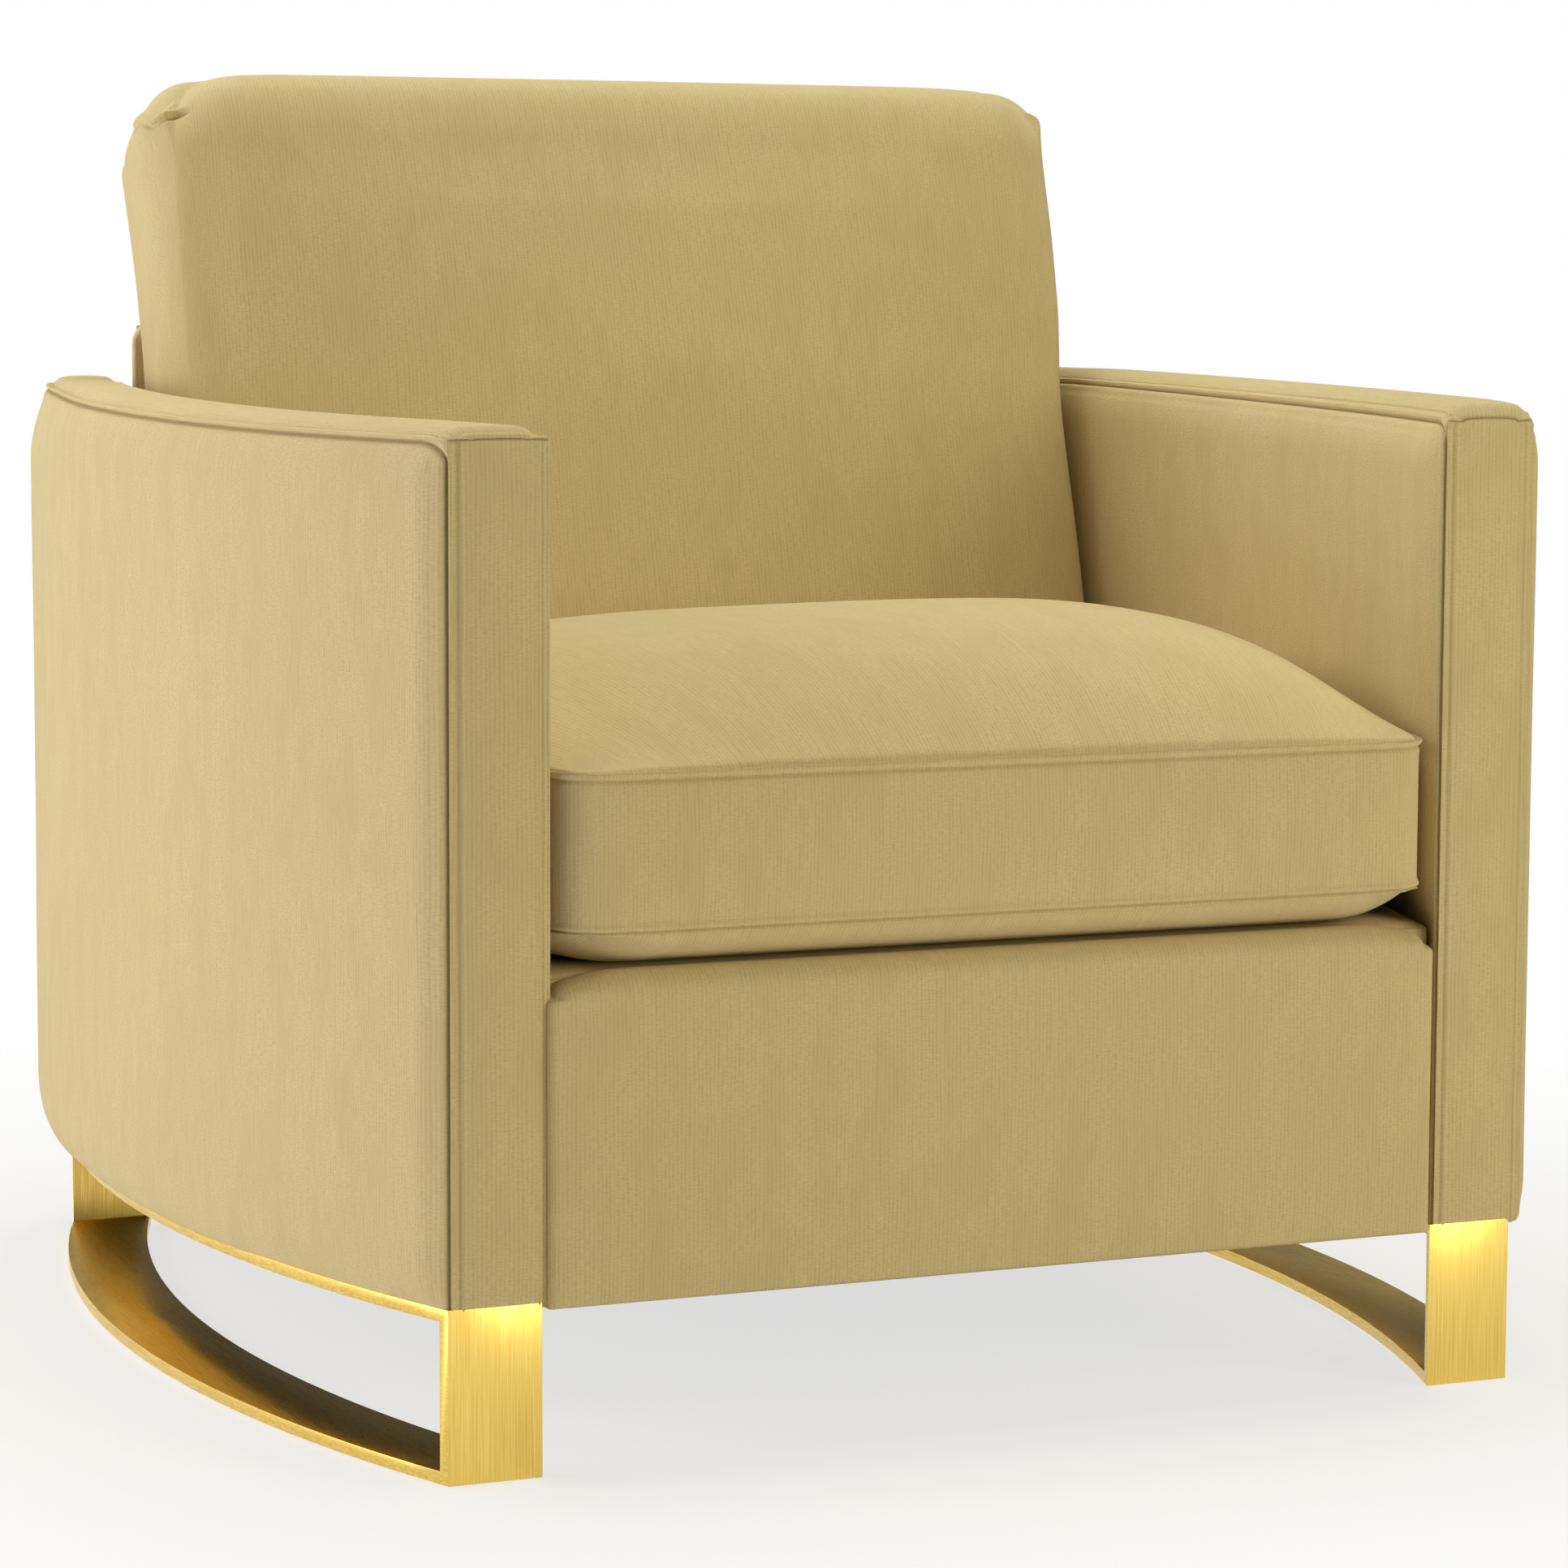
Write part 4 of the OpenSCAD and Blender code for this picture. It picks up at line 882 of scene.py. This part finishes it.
stuffing = {
    "quality": 6, "mass": 0.25, "tension_stiffness": 22, "compression_stiffness": 22, "shear_stiffness": 10,
    "bending_stiffness": 1.2, "use_pressure": True, "vertex_group_mass": "held", "pin_stiffness": 1.0,
}
stuffingFrames = 20


# blows the cushion up as cloth and keeps how far each point went, up to the cap
def inflate(piece, pressure, cap, held):
    before = readPoints(piece)
    activate(piece)
    group = piece.vertex_groups.new(name="held")
    for index in np.nonzero(held > 0)[0]:
        group.add([int(index)], float(held[index]), "REPLACE")
    modifier = piece.modifiers.new("stuffing", "CLOTH")
    for setting, value in stuffing.items():
        setattr(modifier.settings, setting, value)
    modifier.settings.uniform_pressure_force = pressure
    modifier.settings.effector_weights.gravity = 0
    modifier.collision_settings.use_collision = False
    modifier.collision_settings.use_self_collision = False
    modifier.point_cache.frame_start = 1
    modifier.point_cache.frame_end = stuffingFrames
    for number in range(1, stuffingFrames + 1):
        bpy.context.scene.frame_set(number)
    move = readPoints(piece.evaluated_get(bpy.context.evaluated_depsgraph_get())) - before
    activate(piece)
    bpy.ops.object.modifier_remove(modifier=modifier.name)
    bpy.context.scene.frame_set(1)
    reach = np.linalg.norm(move, axis=1, keepdims=True)
    move *= np.minimum(1, cap / np.maximum(reach, 1e-9))
    writePoints(piece, before + move)
    return before + move


seatShape = {
    "front": -0.456, "rear": 0.078, "sideGap": 0.074, "half": 0.31, "play": 0.0035,
    "bottom": 0.3063, "lowerSeam": 0.330, "lowerLine": 0.1925, "seam": 0.427, "crown": 0.500,
    "cornerRoll": 0.016, "startCrown": 0.050, "pressure": 4.0, "cap": 0.026, "fullness": 1.45, "lean": 0.0055,
    "underLift": 0.0237, "underInset": 0.010, "under": 0.2, "zipHeight": 0.372, "stitchDown": 0.0054,
    # rows of (distance from the line, half width, height), and of the same for how much shade is painted into
    # the line
    "topSeam": [(-0.0052, 0.0013, -0.0013), (-0.0016, 0.0021, 0.0012)],
    "footSeam": [(0.0032, 0.0020, 0.0012), (-0.0032, 0.0020, 0.0010), (0.0, 0.0014, -0.0016)],
    "rim": [(0.0015, 0.0020, -0.0024)],
    "darkTop": [(0.0, 0.0009, 0.65), (-0.0052, 0.0008, 0.25)],
    "darkFoot": [(0.0, 0.0009, 0.45)], "darkRim": [(0.0, 0.0010, 0.65)],
}
zipPocket = {"halfLong": 0.2555, "halfWide": 0.0185, "wall": 0.005, "depth": 0.0082}


# how deep the pocket round a zip is, at a place along and across it
def pocketDepth(along, across):
    z = zipPocket
    ends = 1 - ease(np.abs(along), z["halfLong"], z["wall"])
    return z["depth"] * ends * (1 - ease(np.abs(across), z["halfWide"], z["wall"]))


def sewnSeat():
    s = seatShape
    depth, boxing = s["rear"] - s["front"], s["seam"] - s["bottom"]
    piece, box = gridBlock(
        "seatCushion",
        lines((-1, -0.94, 8), (-0.94, 0.94, 62), (0.94, 1, 8)),
        lines((0, 0.035, 8), (0.035, 0.965, 54), (0.965, 1, 6)),
        lines((0, 0.22, 8), (0.22, 0.30, 6), (0.30, 0.88, 16), (0.88, 1.0, 10)),
    )
    u, v, w = box.T
    y = s["front"] + v * depth
    half = innerX(y, s["sideGap"])
    p = np.stack([u * half, y, s["bottom"] + w * boxing], axis=1)
    # plan corners, softly rounded
    frontHalf = float(innerX(s["front"], s["sideGap"]))
    for sign in (-1, 1):
        p = roundEdge(p, (0, 1), (sign * frontHalf, s["front"]), (sign, -1), s["cornerRoll"])
    # underside rolls up to the front, the sides and most of all the corners
    frontLift = np.square(near(y - s["front"], 0.050))
    sideLift = np.square(near(half - np.abs(u * half), 0.055))
    low = near(w, s["under"])
    p[:, 2] += s["underLift"] * np.clip(frontLift * 0.55 + sideLift * 0.75, 0, 1.15) * low
    p[:, 1] += s["underInset"] * np.power(low, 1.6) * near(v, s["under"])
    # low dome on top before the stuffing swells it
    top = w > 1 - 1e-6
    dome = (1 - np.power(np.abs(u), 3.2)) * (1 - np.power(np.abs(2 * v - 1), 2.6))
    p[top, 2] += s["startCrown"] * dome[top]
    writePoints(piece, p)
    turnOutward(piece)
    # the seams and the foam's flat underside hold, the panels between them swell
    side = (np.abs(u) > 1 - 1e-6) | (v < 1e-6) | (v > 1 - 1e-6)
    held = np.where((w < 1e-6) | (side & top), 1.0, 0.0)
    held[side & (np.abs(w - s["lowerLine"]) < 1e-3)] = 0.9
    p = inflate(piece, s["pressure"], s["cap"], held)
    # back into its space, and a little fuller on the right
    full = np.clip((p[top, 2] - s["seam"]) / (p[top, 2].max() - s["seam"]), 0, 1)
    across = np.clip(p[top, 0] / 0.30, -1, 1)
    p[top, 2] = s["seam"] + (1 - np.power(1 - full, s["fullness"])) * (s["crown"] - s["seam"])
    p[top, 2] += s["lean"] * across * (1 - np.power(np.abs(across), 7)) * np.clip(full * 2.5, 0, 1)
    room = innerX(p[:, 1], s["sideGap"] - s["play"])
    p[:, 0] = np.clip(p[:, 0], -room, room)
    p[:, 1] = np.clip(p[:, 1], s["front"] - 0.004, s["rear"] + 0.001)
    p[:, 2] = np.maximum(p[:, 2], s["bottom"])
    writePoints(piece, p)
    layWeave(piece, box, (s["half"], depth, boxing), 1.4)
    u, v, w = refineOnce(piece, box)
    # welt lines: top seam with its lip, stitched 5 mm down; two ridges at the lower seam
    end, onTop = np.abs(u) > 0.999, w > 0.999
    side = end | (v < 0.001) | (v > 0.999)
    d, lower = (w - 1) * boxing, w * boxing + s["bottom"] - s["lowerSeam"]
    rim = np.minimum((1 - np.abs(u)) * s["half"], np.minimum(v, 1 - v) * depth)
    along = np.where(end, v * depth, u * s["half"] + 2)
    uneven = 0.0010 * smoothNoise(u, 71, 0.3) * smoothNoise(v, 73, 0.3) * rise(rim, 0.06)
    gathers = 0.0007 * pucker(along, d, 0.012, 61)
    push = side * (welts(d, s["topSeam"]) + welts(lower, s["footSeam"]) + gathers)
    push += onTop * (welts(rim, s["rim"]) + 0.0009 * pucker(along, rim, 0.018, 67) + uneven)
    p = readPoints(piece) + readNormals(piece) * push[:, None]
    p[:, 1] -= (v > 0.999) * pocketDepth(p[:, 0], p[:, 2] - s["zipHeight"])
    writePoints(piece, p)
    # painted shade along the top and lower seams and round the top's rim
    dark = side * (welts(d, s["darkTop"]) + welts(lower, s["darkFoot"]))
    paintSeamShade(piece, np.maximum(dark, onTop * welts(rim, s["darkRim"])))
    finishSewn(piece, "seat_cushion", ["seat_cushion_core", "seat_cushion_cover"])
    # topstitching just under the top seam, along the front and both sides
    ys = np.linspace(s["front"] + s["cornerRoll"], s["rear"] - 0.02, 120)
    xs = np.linspace(s["cornerRoll"] - frontHalf, frontHalf - s["cornerRoll"], 120)
    sides = innerX(ys, s["sideGap"])
    path = list(zip(-sides[::-1], ys[::-1])) + [(x, s["front"]) for x in xs] + list(zip(sides, ys))
    path = [(x, y, s["seam"] - s["stitchDown"]) for x, y in path]
    sewOn(piece, "seatCushionTopstitch", path, "seat_cushion")


sewnSeat()
print("stage: seat cushion")


backShape = {
    "foot": (0.0, 0.081, 0.3063), "lean": 13.0, "thickness": 0.158, "length": 0.582, "width": 0.34,
    "sideGap": 0.0760, "upperHalf": 0.357, "rightMore": 0.008, "leftFlare": 0.010, "rearNarrow": 0.0225,
    "topRoll": 0.055, "frontRolls": (0.070, 0.052), "rearRolls": (0.036, 0.036), "footRoll": 0.020,
    "frontCorner": 0.022, "rearCorner": 0.060, "leftFall": 0.011, "rightFall": 0.006, "fallLong": 0.11,
    "inset": 0.011, "pressure": 4.0, "cap": 0.024, "passes": 16, "play": 0.003, "zipUp": 0.090,
    "earLong": 0.032, "ear": [(0.026, 0.0020, -0.0042), (0.019, 0.0045, 0.0022)],
}


# from the cushion's own upright frame to the room and back: y through its thickness, z up its face
def leanBack(local, turn=1):
    s = backShape
    lean = math.radians(s["lean"]) * turn
    cosL, sinL = math.cos(lean), math.sin(lean)
    foot = np.array(s["foot"])
    p = local if turn > 0 else local - foot
    turned = np.stack([p[:, 0], p[:, 1] * cosL + p[:, 2] * sinL, p[:, 2] * cosL - p[:, 1] * sinL], axis=1)
    return turned + foot if turn > 0 else turned


# half the cushion's width: between the arms it follows them, above them it stands out freely
def backHalf(x, y, z, v, spare=0.0):
    s = backShape
    between = innerX(y, s["sideGap"] - spare)
    standing = s["upperHalf"] + s["rightMore"] * (x > 0) - s["rearNarrow"] * v + spare
    standing = standing + s["leftFlare"] * v * (x < 0) * ease(z, 0.70, 0.12)
    return between + (standing - between) * ease(z, 0.61, 0.09)


def sewnBack():
    s = backShape
    thick, length, wide = s["thickness"], s["length"], s["width"]
    piece, box = gridBlock(
        "backCushion",
        lines((-1, -0.86, 14), (-0.86, 0.86, 60), (0.86, 1, 14)),
        lines((0, 1, 20)),
        lines((0, 0.08, 6), (0.08, 0.24, 14), (0.24, 0.82, 32), (0.82, 1, 20)),
    )
    u, v, w = box.T
    local = np.stack([u * wide, v * thick, w * length], axis=1)
    corner = s["frontCorner"] + (s["rearCorner"] - s["frontCorner"]) * v
    for end in (-1, 1):
        local = roundEdge(local, (0, 2), (end * wide, length), (end, 1), corner)
    for edge, sign, rolls in ((0.0, -1, s["frontRolls"]), (thick, 1, s["rearRolls"])):
        local = roundEdge(local, (1, 2), (edge, length), (sign, 1), s["topRoll"])
        local = roundEdge(local, (1, 2), (edge, 0.0), (sign, -1), s["footRoll"])
        for end, roll in zip((-1, 1), rolls):
            local = roundEdge(local, (0, 1), (end * wide, edge), (end, sign), roll)
    # the top falls away toward its corners
    fall = np.where(u < 0, s["leftFall"], s["rightFall"])
    local[:, 2] -= fall * np.square(near((1 - np.abs(u)) * wide, s["fallLong"])) * ease(w, 0.75, 0.25)
    p = leanBack(local)
    p[:, 2] = np.maximum(p[:, 2], s["foot"][2])
    p[:, 0] *= backHalf(u, p[:, 1], p[:, 2], v) / wide
    writePoints(piece, p)
    turnOutward(piece)
    # the foot holds, the sides hold in part, and both faces swell
    held = np.maximum(0.6 * ease(np.abs(u), 0.86, 0.14), np.where(w < 1e-6, 1.0, 0.5 * ease(w, 0.9, 0.1)))
    writePoints(piece, p - readNormals(piece) * (s["inset"] * (1 - held))[:, None])
    moves = evenOut(piece, inflate(piece, s["pressure"], s["cap"], held) - p, s["passes"])
    # only the swelling through its thickness is kept, so the outline stays
    lean = math.radians(s["lean"])
    through = np.array([0, math.cos(lean), -math.sin(lean)])
    p = p + (moves @ through)[:, None] * through
    # back inside the space it has
    local = leanBack(p, -1)
    room = backHalf(p[:, 0], p[:, 1], p[:, 2], np.clip(local[:, 1] / thick, 0, 1), s["play"])
    local[:, 0] = np.clip(local[:, 0], -room, room)
    local[:, 1] = np.clip(local[:, 1], -0.012, thick + 0.0004)
    p = leanBack(local)
    p[:, 2] = np.maximum(p[:, 2], s["foot"][2])
    writePoints(piece, p)
    layWeave(piece, box, (0.35, thick, length), 2.6)
    u, v, w = refineOnce(piece, box)
    # a short tuck pinched in at the left top corner, and slow unevenness all over
    down, inward = (1 - w) * length, (1 - np.abs(u)) * wide
    push = welts(down, s["ear"]) * ease(near(inward, s["earLong"]) * 1.6) * (v < 0.5) * (u < 0)
    push += 0.0016 * smoothNoise(u, 51, 0.45) * smoothNoise(w, 53, 0.4) * rise(inward, 0.05)
    push += 0.0008 * smoothNoise(w, 57, 0.13) * near(inward, 0.07)
    local = leanBack(readPoints(piece) + readNormals(piece) * push[:, None], -1)
    pocket = (v > 0.999) * pocketDepth(local[:, 0], local[:, 2] - s["zipUp"])
    local[:, 1] = np.minimum(local[:, 1], thick + 0.0006) - pocket
    writePoints(piece, leanBack(local))
    finishSewn(piece, "back_cushion", ["back_cushion_core", "back_cushion_cover"])


sewnBack()
print("stage: back cushion")


backFrame = {
    "frontY": 0.2437, "lean": 13.0, "foot": 0.306, "top": 0.686, "rearY": 0.452, "sideGap": 0.0712,
    "half": 0.32, "roll": 0.016, "cornerRoll": 0.018, "rearEdge": 0.006, "shoulder": 0.0014,
}


def sewnBackFrame():
    s = backFrame
    half, tall, slope = s["half"], s["top"] - s["foot"], math.tan(math.radians(s["lean"]))
    piece, box = gridBlock(
        "backFramePadding",
        lines((-1, -0.93, 12), (-0.93, 0.93, 50), (0.93, 1, 12)),
        lines((0, 0.2, 8), (0.2, 0.8, 10), (0.8, 1, 8)),
        lines((0, 0.9, 32), (0.9, 1, 14)),
    )
    u, v, w = box.T
    start = s["frontY"] + w * tall * slope
    p = np.stack([u * half, start + v * (s["rearY"] - start), s["foot"] + w * tall], axis=1)
    for edge, sign in ((s["frontY"] + tall * slope, -1), (s["rearY"], 1)):
        p = roundEdge(p, (1, 2), (edge, s["top"]), (sign, 1), s["roll"])
    for end in (-1, 1):
        p = roundEdge(p, (0, 2), (end * half, s["top"]), (end, 1), s["cornerRoll"])
        p = roundEdge(p, (0, 1), (end * half, s["rearY"]), (end, 1), s["rearEdge"])
    p[:, 0] = p[:, 0] / half * innerX(p[:, 1], s["sideGap"])
    p[:, 2] -= s["shoulder"] * near(1 - w, 0.1) * np.power(np.abs(u), 8)
    writePoints(piece, p)
    layWeave(piece, box, (0.33, 0.2, tall), 3.4)
    finishSewn(piece, "chair_frame", ["back_padding", "back_inside_cover"])


outsideBack = {"front": 0.4478, "rear": 0.4540, "bottom": 0.112, "step": 0.306, "top": 0.686,
               "lowGap": 0.0628, "highGap": 0.0710, "corner": 0.03, "cornerDown": 0.006, "cornerIn": 0.003}


# the flat cover over the back board, closed by hand along its edges
def sewnOutsideBack():
    s = outsideBack
    piece, box = gridBlock(
        "outsideBackPanel",
        lines((-1, -0.95, 12), (-0.95, 0.95, 80), (0.95, 1, 12)),
        lines((s["front"], s["rear"], 4)),
        lines((s["bottom"], 0.13, 8), (0.13, 0.306, 26), (0.306, 0.66, 50), (0.66, s["top"], 16)),
    )
    u, y, z = box.T
    p = box.copy()
    narrow = np.clip((z - s["step"] + 0.006) / 0.012, 0, 1)
    half = innerX(s["rear"], s["lowGap"] + (s["highGap"] - s["lowGap"]) * narrow)
    fromTop, fromSide = s["top"] - z, (1 - np.abs(u)) * half
    corner = near(fromSide, s["corner"]) * near(fromTop, s["corner"]) * near(fromTop, 0.186)
    p[:, 0] = u * half - np.sign(u) * s["cornerIn"] * corner
    p[:, 2] -= s["cornerDown"] * corner * np.abs(u)
    edge = np.minimum(fromSide, np.minimum(fromTop, z - s["bottom"]))
    push = -0.0030 * (1 - rise(edge, 0.006)) - 0.0008 * groove(edge - 0.007, 0.0016)
    push += 0.0007 * smoothNoise(u, 81, 0.2) * smoothNoise(z, 83, 0.09) * rise(edge, 0.04)
    push += 0.0005 * pucker(z + u * half, edge, 0.010, 87)
    p[:, 1] += push * (y > s["rear"] - 1e-6)
    writePoints(piece, p)
    layWeave(piece, box, (0.30, 1, 1), 4.5)
    finishSewn(piece, "chair_frame", ["back_outside_cover"])


sewnBackFrame()
sewnOutsideBack()
print("stage: back frame")


deckShape = {"front": -0.4255, "rear": 0.326, "bottom": 0.271, "top": 0.3058, "sideGap": 0.0628,
             "frontRoll": 0.010, "edgeDown": 0.004, "seamBack": 0.110, "seamDown": 0.0012, "uneven": 0.0006}


def sewnDeck():
    s = deckShape
    front = s["front"]
    piece, box = gridBlock(
        "seatDeck",
        lines((-1, -0.94, 8), (-0.94, 0.94, 56), (0.94, 1, 8)),
        lines((front, front + 0.03, 10), (front + 0.03, s["rear"], 70)),
        lines((s["bottom"], s["top"], 10)),
    )
    u, y, z = box.T
    p = roundEdge(box, (1, 2), (front, s["top"]), (-1, 1), s["frontRoll"])
    half = innerX(p[:, 1], s["sideGap"])
    p[:, 0] = u * half
    edge = np.minimum((1 - np.abs(u)) * half, y - front)
    sunk = s["edgeDown"] * (1 - rise(edge, 0.03)) + s["seamDown"] * groove(y - front - s["seamBack"], 0.0030)
    sunk += s["uneven"] * (1 + smoothNoise(u, 91, 0.2) * smoothNoise(y, 93, 0.1))
    p[:, 2] -= sunk * (z > s["top"] - 1e-6)
    writePoints(piece, p)
    layWeave(piece, box, (0.32, 1, 1), 5.5)
    finishSewn(piece, "chair_frame", ["deck_pad", "deck_cloth"])


sewnDeck()
print("stage: deck")


dustShape = {"sideGap": 0.0648, "thick": 0.0007, "sag": 0.004, "hem": 0.014, "fold": 0.0006,
             "scallop": 0.0005, "staplePitch": 0.055, "stapleIn": 0.007, "stapleDown": 0.0016}
dustLow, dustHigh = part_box("dust_cover")


def stretchedDustCloth():
    s = dustShape
    front, rear, top = dustLow[1], dustHigh[1], dustHigh[2]
    piece, box = gridBlock(
        "dustCloth",
        lines((-1, -0.93, 10), (-0.93, 0.93, 60), (0.93, 1, 10)),
        lines((front, front + 0.03, 10), (front + 0.03, rear - 0.03, 76), (rear - 0.03, rear, 10)),
        lines((top - s["thick"], top, 1)),
    )
    u, y, z = box.T
    half = innerX(y, s["sideGap"])
    edge = np.minimum((1 - np.abs(u)) * half, np.minimum(y - front, rear - y))
    # a folded hem, and small scallops between the staples
    hem = s["fold"] * (1 - ease(edge, s["hem"], 0.0025)) * (z < top - 1e-6)
    wave = s["scallop"] * np.sin((y + u * half) * 2 * math.pi / s["staplePitch"])
    wave = wave * groove(edge - 0.024, 0.014)
    writePoints(piece, np.stack([u * half, y, z - s["sag"] * rise(edge, 0.16) - hem + wave], axis=1))
    activate(piece)
    bpy.ops.object.shade_smooth_by_angle(angle=math.radians(50))
    turnOutward(piece)
    finishPiece(piece, finishes["blackCloth"], "chair_frame", ["dust_cover"])


stretchedDustCloth()


def modelStaple():
    bpy.ops.object.select_all(action="DESELECT")
    bpy.ops.mesh.primitive_cube_add(size=1)
    staple = bpy.context.object
    staple.name = "staplePattern"
    staple.scale = (0.010, 0.0011, 0.0007)
    bpy.ops.object.transform_apply(location=False, rotation=False, scale=True)
    bpy.ops.object.mode_set(mode="EDIT")
    bpy.ops.mesh.select_all(action="SELECT")
    bpy.ops.mesh.bevel(offset=0.0002, segments=1)
    bpy.ops.object.mode_set(mode="OBJECT")
    return staple


staplePattern = modelStaple()


def stapleDustCloth():
    s = dustShape
    inset, z = s["stapleIn"], dustHigh[2] - s["stapleDown"]
    ys = np.linspace(dustLow[1] + 0.02, dustHigh[1] - 0.02, 60)
    rows = {word: [(sign * (float(innerX(y, s["sideGap"])) - inset), y, z) for y in ys]
            for word, sign in (("Left", -1), ("Right", 1))}
    for word, y in (("Front", dustLow[1] + inset), ("Rear", dustHigh[1] - inset)):
        half = float(innerX(y, s["sideGap"])) - 0.03
        rows[word] = [(x, y, z) for x in np.linspace(-half, half, 40)]
    for word, path in rows.items():
        run = setAlong(f"dustStaples{word}", staplePattern, s["staplePitch"], path, [(0, 0, -1)] * len(path))
        finishPiece(run, finishes["zinc"], "chair_frame")


stapleDustCloth()
print("stage: dust cloth")


def dressedLoop(word):
    source = nodes[f"{word}_brass_loop"]
    piece = source.copy()
    piece.data = source.data.copy()
    piece.name = piece.data.name = f"{word}BrassLoop"
    for key in list(piece.keys()):
        if key.startswith("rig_"):
            del piece[key]
    piece.parent = None
    bpy.context.scene.collection.objects.link(piece)
    activate(piece)
    bpy.ops.object.mode_set(mode="EDIT")
    bpy.ops.mesh.select_all(action="SELECT")
    bpy.ops.mesh.remove_doubles(threshold=0.00002)
    bpy.ops.mesh.dissolve_limited(angle_limit=math.radians(0.4))
    bpy.ops.object.mode_set(mode="OBJECT")
    edge = piece.modifiers.new("brokenEdge", "BEVEL")
    edge.width = 0.0006
    edge.segments = 2
    edge.limit_method = "ANGLE"
    edge.angle_limit = math.radians(40)
    applyAll(piece)
    bpy.ops.object.shade_smooth_by_angle(angle=math.radians(30))
    finishPiece(piece, finishes["brass"], "chair_frame", [f"{word}_brass_loop"])


for word in ("left", "right"):
    dressedLoop(word)
print("stage: brass loops")

for pattern in (stitchPattern, staplePattern):
    bpy.data.objects.remove(pattern)
bpy.context.scene.frame_set(1)
print("stage: done")
